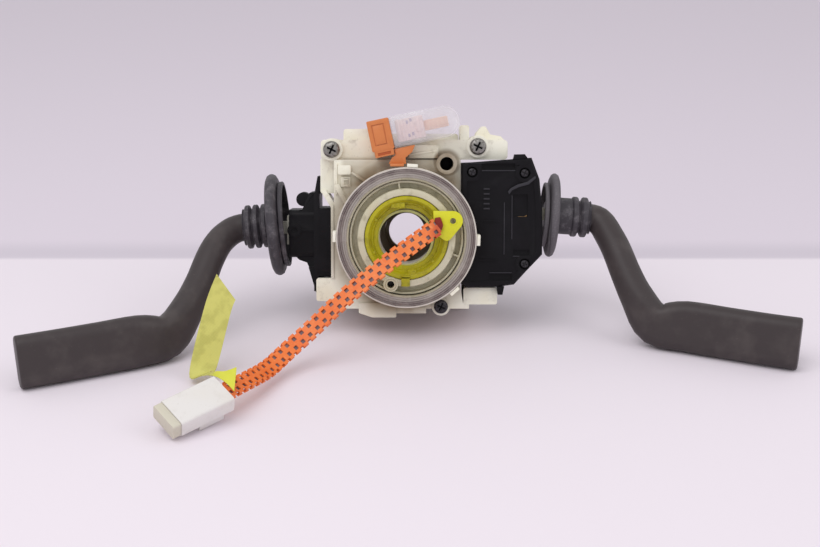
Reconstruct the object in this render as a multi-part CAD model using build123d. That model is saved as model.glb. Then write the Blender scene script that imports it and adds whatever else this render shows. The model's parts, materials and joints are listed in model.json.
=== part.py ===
from build123d import *
import math
import os

# Combination stalk switch of a steering column, in millimetres.
# It stands on a flat surface: on two rear feet and on the lower edges of its two grips, leaning
# back. Every piece but the harness is drawn in the unit's own frame: the column's axis is Y, with
# +Y away from the driver, +X to the right and +Z up. UNIT then leans it back and stands it up.

# ---- how the unit stands -------------------------------------------------------------------
LEAN = 15.7                 # degrees that the column's axis dips towards the rear
BORE_X, BORE_Y = -4.64, 15.64  # the column's axis over the surface, from the middle of the object
REAR_FOOT_Y = 62.0          # rear end of the bracket and of its feet
REAR_FOOT_Z = -51.1         # underside of the feet

# ---- clock spring --------------------------------------------------------------------------
RING_R = 45.0               # outside of the stator
RING_DEPTH = 22.0           # from the bracket's face to the clear cover's face
RING_WALL = 2.0
COVER_T = 1.5               # clear cover
RUN_GAP = 0.35              # between the rotor and what stands still around it
ROTOR_R = 36.6              # outer rim of the rotor
GROOVE_R = 31.6             # inner side of the rotor's groove, outside of its raised wall
WALL_R = 27.0               # inside of the raised wall, which holds the yellow ring
GROOVE_Y = -12.0            # floor of the groove
HUB_BORE_R = 17.6
HUB_WALL = 2.6
RING_SEAT_GAP = 0.3         # around the yellow ring
EAR_T = 1.8                 # plate of the yellow ear
EAR_HOLE_R = 1.9
EAR_HOLE = (29.6, 11.0)
BOSS_AT = (-10.1, -29.9)    # drive boss on the rotor
BOSS_R = 4.8
BOSS_HOLE_R = 2.3
SPIGOT_T = 0.8              # the cover's rim inside the housing
TAB_HALF_W = 3.4            # clips on the housing's rim
TAB_OUT = 2.2
TAB_ANGLES = (85.3, 179, 358, 312)
COIL_TURNS = 4
COIL_T = 0.5                # the ribbon
COIL_GAP = 0.35             # from the coil to the cover's rim and to the rotor
STATOR_SCREW_R = 40.5       # screws from the bracket into the housing's floor
STATOR_SCREW_ANGLES = (48, 145, 270)
STATOR_SHANK_R = 1.5
FLOOR_T = 2.5
CAM_R = HUB_BORE_R + HUB_WALL + 3.2  # cancel cam, over its lobes
CAM_Y = (4.0, 11.0)

# ---- bracket -------------------------------------------------------------------------------
PLATE_T = 5.0               # front plate
SLEEVE_R = 33.0
SLEEVE_WALL = 3.0
BUSH_R, BUSH_BORE_R = 15.0, 12.3
REAR_WALL_T = 8.0
TOP_BAR_Z = (49.5, 62.5)
TOP_BAR_Y = (4.0, 36.0)
BOTTOM_Z = (-48.0, -44.0)
SCREW_L = (-48.8, 56.2)     # the two screws in the top bar, and the one below
SCREW_R = (46.4, 58.1)
SCREW_LOW = (22.5, -46.4)
POST = (26.0, 47.0)         # hollow post
POST_R, POST_BORE_R = 6.7, 4.4

# ---- switch units --------------------------------------------------------------------------
CASE_WALL = 2.2
CASE_BACK = 46.0            # rear face of both cases
L_PIVOT = (-74.0, 25.0, 3.0)
R_PIVOT = (80.0, 25.0, 13.0)
L_CASE_X = (-58.0, -28.0)
L_CASE_Z = (-27.0, 17.5)
L_SOCKET_X = (-55.0, -31.0)  # plug sockets at the rear of the cases
L_SOCKET_Z = (-26.0, -9.0)
R_SOCKET_X = (44.0, 70.0)
R_SOCKET_Z = (-30.0, -12.0)
L_NECK_X = -77.6
L_NECK_Z = (-15.0, 16.4)
L_NECK_Y = (8.0, 42.0)
R_CASE_X = (35.6, 83.5)
PAWL_Z = (4.5, 9.5)
PAWL_Y = (PLATE_T + CASE_WALL + 0.8, PLATE_T + CASE_WALL + 4.8)
PAWL_SLOT_Y = (PAWL_Y[0] - 0.3, PAWL_Y[1] + 0.3)
L_BOARD_X = (L_CASE_X[0] + CASE_WALL + 0.8, L_CASE_X[1] - CASE_WALL - 0.2)
L_BOARD_Z = (L_CASE_Z[0] + CASE_WALL + 0.2, L_CASE_Z[1] - CASE_WALL - 0.7)
R_BOARD_X = (R_CASE_X[0] + CASE_WALL + 0.6, 68.0)
R_BOARD_Z = (-28.2, 40.0)
SOCKET_DEPTH = 14.0
SOCKET_WALL = 1.8
BOARD_FRONT = 41.4
BLADE_W, BLADE_T = 2.0, 0.8
BLADE_OUT = 8.0             # how far the blades stand out of the case's rear wall

# ---- the right unit's cover, and its case ------------------------------------------------------
COVER_OUTLINE = [(35.4, 47.4), (81.0, 50.9), (86.3, 37.0), (88.2, 16.8), (88.4, -12.0), (77.6, -23.4),
                 (70.1, -31.7), (59.3, -33.2), (40.3, -33.9), (35.4, -31.0)]
CASE_OUTLINE = [(35.6, 47.0), (79.0, 48.5), (83.5, 40.0), (83.5, -14.0), (76.0, -22.0), (69.4, -31.0),
                (40.3, -33.5), (35.6, -31.0)]
COVER_Y = (-5.0, -1.0)       # from its face to the case
COVER_SEAT_Y = -2.6
COVER_SCREWS = [(42.6, 41.6), (76.7, 40.9), (77.0, -18.2)]
COVER_SHANK_R = 1.25
COVER_BOSS_R = 3.7          # reaches into the case's wall

# ---- plug on top -----------------------------------------------------------------------------
PLUG_AT = (-16.8, -5.0, 65.5)
PLUG_TILT = -12.0           # about Y

# ---- levers: drawn with the pivot at the origin and +X outwards ------------------------------
FIT = 0.05                  # a shaft in its hole
SLIDE_GAP = 0.3             # between pieces that slide past each other
YOKE_X = (-8.0, 5.0)
YOKE_HALF_Y = 14.0
YOKE_HALF_Z = 9.5
WINDOW_HALF_Y = 7.0
CORE_HALF_Y = 4.5
CORE_HALF_Z = 4.0
CORE_OUT = 33.0             # how far the core reaches into the stalk
TAIL_R = 3.75
TAIL_IN = -36.0             # inner end of the core
PLUNGER_R = 2.2
PLUNGER_OUT = 3.7           # how far the plunger stands out of the core
DETENT_GAP = 0.4
PIN_R = 2.0
STUB_R = 2.5
FINGER_AT = 28.0            # drive pin, from the pivot
FINGER_R = 1.6
DETENT_FACE_R = -TAIL_IN + PLUNGER_OUT + DETENT_GAP
L_DETENT_T = L_CASE_X[1] - CASE_WALL - 0.5 - L_PIVOT[0] - DETENT_FACE_R
R_DETENT_T = R_PIVOT[0] - DETENT_FACE_R - R_CASE_X[0] - CASE_WALL - 0.1
STALK_R = 9.2
BOOT_GAP = 0.4

# ---- grips: stations of the stalk's centre line, x and y, the height follows from the table ---
GRIP_H, GRIP_T = 33.0, 15.0
GRIP_CLEAR = 0.3            # under the grips while the rear feet stand on the table


def block(x, y, z):
    """A box from three (low, high) pairs."""
    sides = [high - low for low, high in (x, y, z)]
    middle = [(low + high) / 2 for low, high in (x, y, z)]
    return Pos(*middle) * Box(*sides)


def rod_y(radius, y, x=0.0, z=0.0):
    return Pos(x, (y[0] + y[1]) / 2, z) * Rot(90, 0, 0) * Cylinder(radius, y[1] - y[0])


def rod_x(radius, x, y=0.0, z=0.0):
    return Pos((x[0] + x[1]) / 2, y, z) * Rot(0, 90, 0) * Cylinder(radius, x[1] - x[0])


def rod_z(radius, z, x=0.0, y=0.0):
    return Pos(x, y, (z[0] + z[1]) / 2) * Cylinder(radius, z[1] - z[0])


def ring_y(outer, inner, y, x=0.0, z=0.0):
    return rod_y(outer, y, x, z) - rod_y(inner, y, x, z)


def plate(points, y, rounding=0.0):
    """A flat plate with its outline in X and Z, from y[0] to y[1]."""
    face = Polygon(*points, align=None)
    if rounding:
        face = fillet(face.vertices(), rounding)
    return Pos(0, y[1], 0) * extrude(Plane.XZ * face, amount=y[1] - y[0], dir=(0, -1, 0))


def turned(profile):
    """A solid of revolution about Y from (radius, y) points."""
    return revolve(Polygon(*profile, align=None), axis=Axis.Y)


def turned_x(profile):
    """A solid of revolution about X from (x, radius) points."""
    return revolve(Polygon(*profile, align=None), axis=Axis.X)


def group(shapes):
    """Separate solids in one node."""
    solids = [solid for shape in shapes for solid in shape.solids()]
    return Compound(children=solids)


def round_box(x, y, z, radius, axis=Axis.Y):
    box = block(x, y, z)
    return fillet(box.edges().filter_by(axis), radius)


def pan_screw(at, y_seat, length, head_r=5.5, head_h=3.4, shank_r=2.1):
    """A cross-recess pan-head screw along +Y, its head's underside at y_seat."""
    x, z = at
    crown = head_h * 0.45
    head = turned([(0, y_seat), (head_r, y_seat), (head_r, y_seat - head_h + crown),
                   (head_r * 0.72, y_seat - head_h), (0, y_seat - head_h)])
    slot = block((-head_r * 0.55, head_r * 0.55), (y_seat - head_h, y_seat - head_h * 0.35), (-0.6, 0.6))
    head -= slot + Rot(0, 90, 0) * slot
    head = Rot(0, 25, 0) * head
    return Pos(x, 0, z) * (head + rod_y(shank_r, (y_seat, y_seat + length)))


# ============================ clock spring: what stands still =================================
RING_FACE = -RING_DEPTH
COIL_IN = ROTOR_R + RUN_GAP
CAM_HOLE_R = CAM_R + 1.2
SPIGOT_R = RING_R - RING_WALL - 0.2


def stator_housing():
    seat = RING_FACE + COVER_T
    body = ring_y(RING_R, RING_R - RING_WALL, (seat, 0)) + ring_y(RING_R, CAM_HOLE_R, (-FLOOR_T, 0))
    for angle in TAB_ANGLES:
        tab = block((RING_R - 1.0, RING_R + TAB_OUT), (seat, -8.0), (-TAB_HALF_W, TAB_HALF_W))
        tab += block((RING_R + 0.2, RING_R + TAB_OUT), (RING_FACE - 0.3, seat + 1),
                     (-TAB_HALF_W, TAB_HALF_W))
        body += Rot(0, -angle, 0) * tab
    for angle in STATOR_SCREW_ANGLES:
        body -= Rot(0, -angle, 0) * rod_y(STATOR_SHANK_R, (-FLOOR_T - 1, 1), STATOR_SCREW_R)
    return body


def stator_cover():
    face = ring_y(RING_R, COIL_IN, (RING_FACE, RING_FACE + COVER_T))
    spigot = ring_y(SPIGOT_R, SPIGOT_R - SPIGOT_T, (RING_FACE, RING_FACE + 6.5))
    lip = ring_y(RING_R, RING_R - 1.2, (RING_FACE - 0.5, RING_FACE))
    return face + spigot + lip


def flat_cable_coil():
    """The ribbon between rotor and stator, as the turns of one flat coil."""
    start = COIL_IN + COIL_GAP
    end = SPIGOT_R - SPIGOT_T - COIL_GAP - COIL_T
    pitch = (end - start) / COIL_TURNS
    steps = 24 * COIL_TURNS
    inner, outer = [], []
    for step in range(steps + 1):
        angle = 2 * math.pi * step / 24
        radius = start + pitch * angle / (2 * math.pi)
        inner.append((radius * math.cos(angle), radius * math.sin(angle)))
        outer.append(((radius + COIL_T) * math.cos(angle), (radius + COIL_T) * math.sin(angle)))
    edges = [Spline(*inner), Line(inner[-1], outer[-1]), Spline(*outer), Line(outer[0], inner[0])]
    face = Plane.XZ * make_face(edges)
    depth = (RING_FACE + COVER_T + SLIDE_GAP, -FLOOR_T - SLIDE_GAP)
    return Pos(0, depth[1], 0) * extrude(face, amount=depth[1] - depth[0], dir=(0, -1, 0))


# ============================ clock spring: what turns ========================================
HUB_R = HUB_BORE_R + HUB_WALL
ROTOR_FACE = RING_FACE + 0.6
RIM_T = 1.4                 # outer rim
WEB_T = 2.4                 # floor
RIB_ANGLES = (98, 340)


def rotor_disc():
    return ring_y(ROTOR_R, HUB_R, (GROOVE_Y, GROOVE_Y + WEB_T))


def rotor_rim():
    """The outer rim, with the ribs across the groove."""
    body = ring_y(ROTOR_R, ROTOR_R - RIM_T, (ROTOR_FACE, GROOVE_Y))
    for angle in RIB_ANGLES:
        rib = block((GROOVE_R + 0.05, ROTOR_R - RIM_T / 2), (ROTOR_FACE + 0.8, GROOVE_Y), (-0.6, 0.6))
        body += Rot(0, -angle, 0) * rib
    return body - boss_room()


def rotor_wall():
    wall = ring_y(GROOVE_R, WALL_R, (ROTOR_FACE, GROOVE_Y))
    wall = wall.fillet(0.8, wall.edges().group_by(Axis.Y)[0])
    return wall - boss_room()


def boss_room():
    return rod_y(BOSS_R, (RING_FACE - 1.0, GROOVE_Y), *BOSS_AT)


def rotor_hub():
    return ring_y(HUB_R, HUB_BORE_R, (-10.2, 12.5))


def drive_boss():
    """A bush in the rotor's raised wall, for the pin of the steering wheel."""
    boss = rod_y(BOSS_R, (RING_FACE - 0.9, GROOVE_Y), *BOSS_AT)
    return boss - rod_y(BOSS_HOLE_R, (RING_FACE - 1.0, GROOVE_Y - 0.5), *BOSS_AT)


def yellow_ring():
    outer = WALL_R - RING_SEAT_GAP
    inner = HUB_R + 0.3 + RING_SEAT_GAP
    dish = turned([(outer, ROTOR_FACE + 0.3), (outer, ROTOR_FACE + 4.0), (inner, GROOVE_Y - 0.2),
                   (HUB_BORE_R + 0.8, GROOVE_Y - 0.2), (HUB_BORE_R + 0.8, GROOVE_Y - 1.8),
                   (inner, GROOVE_Y - 2.4), (outer - 2.6, ROTOR_FACE + 0.3)])
    ear_y = (RING_FACE - 0.6 - EAR_T, RING_FACE - 0.6)
    hole_x, hole_z = EAR_HOLE
    ear = plate([(17.0, 17.3), (hole_x + 0.6, 17.3), (hole_x + 5.6, 14.0), (hole_x + 6.4, hole_z),
                 (hole_x + 5.0, 7.0), (26.8, -0.6), (17.6, 3.0)], ear_y, 1.0)
    stem = plate([(18.2, 12.0), (22.0, 12.5), (24.6, 6.0), (24.4, 4.2), (18.2, 4.0)],
                 (ear_y[0] + 0.2, ROTOR_FACE + 3.5))
    pad = block((-10.0, -0.8), (-18.6, -13.5), (18.9, 22.9))
    clip = block((-3.4, 2.2), (RING_FACE - 0.7, ROTOR_FACE - 0.15), (-31.2, -24.5))
    clip += block((-3.4, 2.2), (RING_FACE - 0.7, -16.0), (-26.4, -24.0))
    latch = block((0.6, 6.4), (-19.2, -14.5), (-25.4, -20.4))
    ring = dish + ear + stem + pad + clip + latch
    return ring - rod_y(EAR_HOLE_R, (ear_y[0] - 1, ear_y[1] + 1), hole_x, hole_z)


def cancel_cam():
    base_r = CAM_R - 1.8
    cam = rod_y(base_r, CAM_Y)
    for angle in (0, 120, 240):
        lobe = block((base_r - 2.0, CAM_R - 0.1), CAM_Y, (-4.0, 4.0))
        cam += Rot(0, angle, 0) * lobe
    cam -= rod_y(HUB_R + 0.1, (CAM_Y[0] - 1, CAM_Y[1] + 1))
    return cam


# ============================ bracket and what is screwed to it ===============================
def switch_bracket():
    sleeve_in = SLEEVE_R - SLEEVE_WALL
    face = plate([(-47.4, -30.0), (-41.0, -44.0), (37.0, -44.0), (35.2, -33.0), (35.2, 49.5), (-47.4, 49.5)],
                 (0, PLATE_T))
    face -= rod_y(CAM_HOLE_R, (-1, PLATE_T + 1))
    sleeve = ring_y(SLEEVE_R, sleeve_in, (PLATE_T, REAR_FOOT_Y))
    sleeve += rod_y(SLEEVE_R, (REAR_FOOT_Y - REAR_WALL_T, REAR_FOOT_Y))
    sleeve -= rod_y(BUSH_R, (PLATE_T, REAR_FOOT_Y + 1))
    body = face + sleeve

    top = round_box((-56.0, 66.0), TOP_BAR_Y, TOP_BAR_Z, 2.5)
    top += round_box((-41.4, -24.0), (9.0, 34.0), (61.0, 69.6), 2.0)
    top += round_box((-24.0, 34.0), (14.0, 34.0), (61.0, 66.5), 2.0)
    top += round_box((35.0, 41.0), (8.0, 34.0), (60.0, 72.0), 1.5)
    top += plate([(44.0, 60.0), (46.0, 67.0), (49.5, 71.2), (52.0, 71.2), (55.0, 66.0), (62.0, 64.8),
                  (66.5, 60.0)], (12.0, 34.0), 0.8)
    for x, z in (SCREW_L, SCREW_R):
        top += rod_y(7.2, (0.5, TOP_BAR_Y[1]), x, z)
    body += top

    # left side: pillar with two diagonal legs, latch block, and the thin wall beside the case
    left_side = round_box((-56.5, -46.6), (6.0, 30.0), (27.5, 50.5), 1.5)
    left_side += plate([(-56.3, 29.5), (-52.6, 29.5), (-46.2, 19.5), (-46.2, 14.5), (-48.6, 17.0)],
                       (1.0, 26.0))
    left_side += plate([(-47.0, 33.0), (-44.0, 34.0), (-38.2, 22.5), (-41.4, 21.0)], (-2.0, 1.0))
    left_side += round_box((-44.6, -36.2), (-5.0, 1.0), (40.0, 46.0), 1.0)
    left_side += block((-42.8, -36.6), (-1.6, 1.0), (32.0, 38.5))
    left_side -= block((-40.6, -37.4), (-2.0, -0.4), (33.0, 37.4))
    left_side += block((-49.4, -47.6), (-1.0, PLATE_T - SLIDE_GAP), (-28.0, 20.0))
    body += left_side

    # bottom: left and right blocks, the sloped foot, the lower rail with its screw boss, rear feet
    low = round_box((-59.2, -37.2), (0, 40.0), (-43.0, -28.0), 1.5)
    low += round_box((37.3, 59.4), (0, 40.0), (-45.2, -34.2), 1.5)
    low += block((-41.0, 41.0), (0, REAR_FOOT_Y), BOTTOM_Z)
    low += plate([(-31.4, -44.2), (-6.8, -44.2), (-6.8, -53.6), (-22.5, -53.6), (-31.4, -50.6)],
                 (-2.0, 12.0), 0.8)
    low += block((-6.8, 12.8), (-1.0, 10.0), (-51.0, -47.0))
    low += rod_y(6.0, (-1.5, 12.0), *SCREW_LOW)
    for x in (-40.0, 26.0):
        low += round_box((x, x + 14.0), (REAR_FOOT_Y - 14.0, REAR_FOOT_Y), (REAR_FOOT_Z, -44.0), 2.0, Axis.Z)
    for x in (-39.0, -2.0, 31.0):
        low += block((x, x + 4.0), (PLATE_T, REAR_FOOT_Y), (-46.0, -30.0 if x == -2.0 else -26.0))
    body += low - rod_y(SLEEVE_R - 1.0, (-1, REAR_FOOT_Y + 1))
    body -= rod_y(RING_R + SLIDE_GAP, (-7.0, 0))
    body -= left_case_room()

    # hollow post, and the ledge behind the plug
    body += rod_y(POST_R, (-6.0, PLATE_T + 9.0), *POST)
    body += round_box((1.5, 20.5), (-2.0, 5.0), (50.6, 59.0), 1.0)
    body -= rod_y(POST_BORE_R, (-7.0, PLATE_T + 10.0), *POST)
    for at in (SCREW_L, SCREW_R):
        body -= rod_y(2.2, (0, 24.0), *at)
    body -= rod_y(2.2, (-2.0, 9.0), *SCREW_LOW)
    for angle in STATOR_SCREW_ANGLES:
        body -= Rot(0, -angle, 0) * rod_y(STATOR_SHANK_R + 0.1, (-1, PLATE_T + 1), STATOR_SCREW_R)
        body -= Rot(0, -angle, 0) * rod_y(3.4, (PLATE_T, PLATE_T + 6), STATOR_SCREW_R)
    return body


def left_case_room():
    """What the left case, its flange and its socket need of the bracket."""
    gap = SLIDE_GAP
    front = PLATE_T - gap / 10
    left = L_CASE_X[0] - 8.0
    box = block((left, L_CASE_X[1] + gap), (front, CASE_BACK + gap), (L_CASE_Z[0] - gap, L_CASE_Z[1] + gap))
    flange = block((left, L_CASE_X[0] + 0.7), (front, 44.0 + gap), (-38.3, 28.3))
    socket = block((L_SOCKET_X[0] - gap, L_SOCKET_X[1] + gap), (CASE_BACK, CASE_BACK + SOCKET_DEPTH + gap),
                   (L_SOCKET_Z[0] - gap, L_SOCKET_Z[1] + gap))
    return box + flange + socket


def stator_screws():
    screws = []
    for angle in STATOR_SCREW_ANGLES:
        screw = rod_y(STATOR_SHANK_R, (-FLOOR_T + 0.1, PLATE_T), STATOR_SCREW_R)
        screw += rod_y(3.0, (PLATE_T, PLATE_T + 2.2), STATOR_SCREW_R)
        screws.append(Rot(0, -angle, 0) * screw)
    return group(screws)


def bracket_screws():
    return group([pan_screw(SCREW_L, 0.5, 20.0), pan_screw(SCREW_R, 0.5, 20.0),
                  pan_screw(SCREW_LOW, -1.5, 9.0, 4.6, 3.0)])


def column_bush():
    return ring_y(BUSH_R - 0.1, BUSH_BORE_R, (REAR_FOOT_Y - REAR_WALL_T, REAR_FOOT_Y + 1.5))


# ============================ plug and clear cap on top =======================================
def tilted(shape):
    """From the plug's own frame, upright, to its tilted place on the bracket."""
    return Pos(*PLUG_AT) * Rot(0, PLUG_TILT, 0) * shape


def orange_plug():
    shell = round_box((-7.2, 7.2), (-8.5, 8.5), (-10.0, 10.0), 0.8)
    shell -= block((-4.6, 3.4), (-9.0, -7.9), (-6.5, 7.0))
    shell += block((-4.0, 2.8), (-8.5, -7.7), (-5.9, 6.4))
    shell -= block((-5.4, 5.4), (-6.5, 6.5), (-8.0, 8.0))
    shell -= block((5.0, 8.0), (-6.5, 6.5), (-8.0, 8.0))
    foot = block((-6.0, 6.4), (-8.3, 8.3), (-14.0, -10.0)) - block((-4.0, 4.4), (-9.0, 6.0), (-13.0, -11.2))
    return tilted(shell + foot)


def plug_terminals():
    body = block((-5.1, -3.5), (-6.2, 6.2), (-7.7, 7.7))
    for y in (-4.0, 0.0, 4.0):
        for z in (-3.5, 3.5):
            body += block((-3.5, 6.5), (y - 0.5, y + 0.5), (z - 0.5, z + 0.5))
    return tilted(body)


def clear_cap():
    """A clear cover pushed onto the plug, round at its free end."""
    def loaf(grow, y):
        half = 10.2 - grow
        slab = block((7.5, 42.0), y, (-half, half))
        return slab + rod_y(half, y, 42.0)
    outer = loaf(0.0, (-7.6, 7.6))
    inner = loaf(1.3, (-6.3, 6.3))
    cap = outer - inner - block((7.0, 9.0), (-6.3, 6.3), (-8.9, 8.9))
    return tilted(cap)


def cap_insert():
    body = round_box((10.5, 36.0), (-5.9, 5.9), (-7.4, 7.4), 1.5)
    key = round_box((36.0, 45.0), (-3.0, 3.0), (-4.0, 4.0), 1.0)
    return tilted(body + key)


def orange_lead_arm():
    arm = plate([(-8.0, 56.5), (5.6, 59.4), (3.6, 54.5), (-0.6, 51.0), (-0.2, 46.9), (-11.6, 46.9),
                 (-9.4, 51.0), (-7.1, 52.8)], (-11.5, -7.5), 0.4)
    tongue = block((-10.4, -1.6), (-19.5, -7.5), (45.5, 46.9))
    return arm + tongue


# ============================ levers, in the frame of their pivot =============================
def yoke(core_z):
    body = block(YOKE_X, (-YOKE_HALF_Y, YOKE_HALF_Y), (-YOKE_HALF_Z, YOKE_HALF_Z))
    slot_z = CORE_HALF_Z + SLIDE_GAP
    body -= block((YOKE_X[0] - 1, YOKE_X[1] + 1), (-WINDOW_HALF_Y, WINDOW_HALF_Y),
                  (core_z - slot_z, core_z + slot_z))
    body -= rod_y(STUB_R + FIT, (-YOKE_HALF_Y - 1, -WINDOW_HALF_Y - 1))
    body -= rod_y(STUB_R + FIT, (WINDOW_HALF_Y + 1, YOKE_HALF_Y + 1))
    body -= rod_z(PIN_R, (-YOKE_HALF_Z - 1, YOKE_HALF_Z + 1))
    finger_y = (9.2, 12.2)
    body += block((-FINGER_AT - 2.2, YOKE_X[0] + 1), finger_y, (-2.2, 2.2))
    body += rod_y(FINGER_R, (finger_y[1] - 0.5, finger_y[1] + 2.4), -FINGER_AT)
    return body


def stub_pins(reach):
    """Two stubs pressed in the case, on which the yoke turns."""
    start = WINDOW_HALF_Y + 1.2
    return group([rod_y(STUB_R, (-reach, -start)), rod_y(STUB_R, (start, reach))])


def lever_core(core_z):
    bar = block((-11.0, CORE_OUT), (-CORE_HALF_Y, CORE_HALF_Y), (core_z - CORE_HALF_Z, core_z + CORE_HALF_Z))
    neck = block((-24.0, -10.0), (-2.6, 2.6), (-2.6, 2.6))
    tail = rod_x(TAIL_R, (TAIL_IN, -22.0))
    core = bar + neck + tail
    core -= rod_x(PLUNGER_R + 0.08, (TAIL_IN - 1, -24.0))
    return core - rod_z(PIN_R + FIT, (-YOKE_HALF_Z, YOKE_HALF_Z))


def lever_pin():
    return rod_z(PIN_R, (-YOKE_HALF_Z, YOKE_HALF_Z))


def plunger():
    tip = TAIL_IN - PLUNGER_OUT
    stem = rod_x(PLUNGER_R, (tip + 2.0, -31.0))
    nose = Pos(tip + 2.0, 0, 0) * Sphere(2.0)
    return stem + nose


def detent_spring():
    coil = Helix(pitch=1.25, height=5.6, radius=1.6)
    wire = Plane(origin=coil @ 0, z_dir=coil % 0) * Circle(0.3)
    return Pos(-30.5, 0, 0) * Rot(0, 90, 0) * sweep(wire, path=coil)


def detent_plate(half_y, half_z, thickness):
    """A block hollowed about the yoke's axis, with a groove for each position."""
    body = block((-DETENT_FACE_R - thickness, -DETENT_FACE_R + 3.0), (-half_y, half_y), (-half_z, half_z))
    return body - rod_y(DETENT_FACE_R, (-half_y - 1, half_y + 1))


def contact_slider():
    """The moving contact's carrier, with a slot for the yoke's pin, in the pivot's frame."""
    y = (12.8, 15.8)
    body = block((-FINGER_AT - 7.0, -FINGER_AT + 7.0), y, (-5.0, 5.0))
    slot_z = FINGER_R + 0.25
    return body - block((-FINGER_AT - 4.0, -FINGER_AT + 4.0), (y[0] - 1, y[1] + 1), (-slot_z, slot_z))


def slider_contacts():
    """Two bridges on the back of the slider."""
    return group([block((-FINGER_AT - 6.4, -FINGER_AT - 4.4), (15.8, 16.1), (-4.2, 4.2)),
                  block((-FINGER_AT + 4.4, -FINGER_AT + 6.4), (15.8, 16.1), (-4.2, 4.2))])


def swung(points):
    """Sections along a stalk's centre line, each (x, y, z, height, thickness), lofted together."""
    path = Spline(*[point[:3] for point in points])
    sections = []
    for x, y, z, high, thick in points:
        at = path.param_at_point((x, y, z))
        along = path % at
        across = along.cross(Vector(0, 0, 1)).normalized()
        radius = min(high, thick) / 2 - 0.4
        place = Plane(origin=(x, y, z), x_dir=across, z_dir=along)
        sections.append(place * RectangleRounded(thick, high, radius))
    return loft(sections, ruled=True)


def contact_height(y, high=GRIP_H, thick=GRIP_T):
    """Height in the unit's frame at which a grip's rounded lower edge lies on the table."""
    lean = math.radians(LEAN)
    edge = thick / 2 - 0.4
    drop = (high / 2 - edge) * math.cos(lean) + edge + GRIP_CLEAR
    return (drop - BORE_HEIGHT + y * math.sin(lean)) / math.cos(lean)


def core_socket(core_z, pivot, outward):
    """The hole in the stalk that the lever's core fills."""
    low, high = YOKE_X[1] + 2.0, CORE_OUT + 0.2
    hole = block((low, high), (-CORE_HALF_Y - 0.1, CORE_HALF_Y + 0.1),
                 (core_z - CORE_HALF_Z - 0.1, core_z + CORE_HALF_Z + 0.1))
    return put(hole, pivot, outward)


def put(shape, pivot, outward):
    """From a pivot's frame to the unit's; outward is -1 for the left lever."""
    if outward < 0:
        shape = mirror(shape, about=Plane.YZ)
    return Pos(*pivot) * shape


LEFT_STALK = [(-86, 25, 5.95), (-98, 25, 4.9), (-111.0, 25, 3.76), (-118.5, 21.6, 0.6), (-125, 14, -6.0),
              (-130, 5, -16.5), (-134.7, -6, -31), (-141, -19, -46)]
LEFT_GRIP = [(-151, -32), (-168, -43), (-190, -53.5), (-214, -64.5), (-236, -74)]
RIGHT_STALK = [(92, 25, 12.56), (106, 25, 11.6), (124.5, 25, 10.26), (130.5, 22.3, 6.6), (134.5, 16.5, -0.5),
               (138.8, 9.5, -10), (144.5, 1, -26), (151, -6.5, -41)]
RIGHT_GRIP = [(161, -13), (180, -20.5), (205, -31), (228, -40.5), (246, -47)]
TUBE_SIZES = [18.4, 18.4, 18.4, 18.4, 18.6, 19.0, 20.0, 22.5]


def stalk(tube, grip):
    stations = []
    for (x, y, z), size in zip(tube, TUBE_SIZES):
        stations.append((x, y, z, size, min(size, 19.0)))
    x, y = grip[0]
    high, thick = GRIP_H * 0.85, GRIP_T + 2.0
    stations.append((x, y, contact_height(y, high, thick) + 1.5, high, thick))
    for x, y in grip[1:]:
        stations.append((x, y, contact_height(y), GRIP_H, GRIP_T))
    return swung(stations)


LEFT_BOOT = ((6.4, 10.0, 28.5), (10.0, 17.5, 34.0), (17.5, 19.0, 13.4), (19.0, 3, 5.4))
RIGHT_BOOT = ((10.8, 14.4, 21.6), (14.2, 20.2, 28.0), (20.2, 30.0, 12.2), (30.0, 2, 6.4))


def boot(lip, disc, sleeve, ribs, hole):
    """A rubber boot turned about X: an open inner lip, a big disc, a sleeve and ribs.

    lip and disc are (x0, x1, radius), sleeve is (x0, x1, radius) and ribs (x0, count, pitch)."""
    wall = 2.4
    lip_x0, lip_x1, lip_r = lip
    disc_x0, disc_x1, disc_r = disc
    sleeve_x0, sleeve_x1, sleeve_r = sleeve
    middle = (disc_x0 + disc_x1) / 2
    half = (disc_x1 - disc_x0) / 2
    outer = [(lip_x0, lip_r - wall), (lip_x0, lip_r), (lip_x1, lip_r - 1.0), (disc_x0 + 0.5, disc_r - 6.0),
             (disc_x0, disc_r - 3.0), (middle, disc_r), (disc_x1, disc_r - 3.0), (disc_x1, sleeve_r + 6.0),
             (disc_x1 - half * 0.6, sleeve_r)]
    outer.append((sleeve_x0, sleeve_r))
    outer.append((sleeve_x1, sleeve_r))
    first, count, pitch = ribs
    for rib in range(count):
        x = first + rib * pitch
        outer.append((x + pitch * 0.1, sleeve_r + 1.2))
        outer.append((x + pitch * 0.6, sleeve_r + 1.2))
        outer.append((x + pitch * 0.85, sleeve_r - 1.6))
    end = first + count * pitch
    outer += [(end, sleeve_r - 1.0), (end, hole)]
    inner = [(disc_x1 + 1.0, hole), (disc_x1 - half, lip_r - wall - 6.0), (disc_x0, lip_r - wall)]
    return turned_x(outer + inner)


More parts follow.
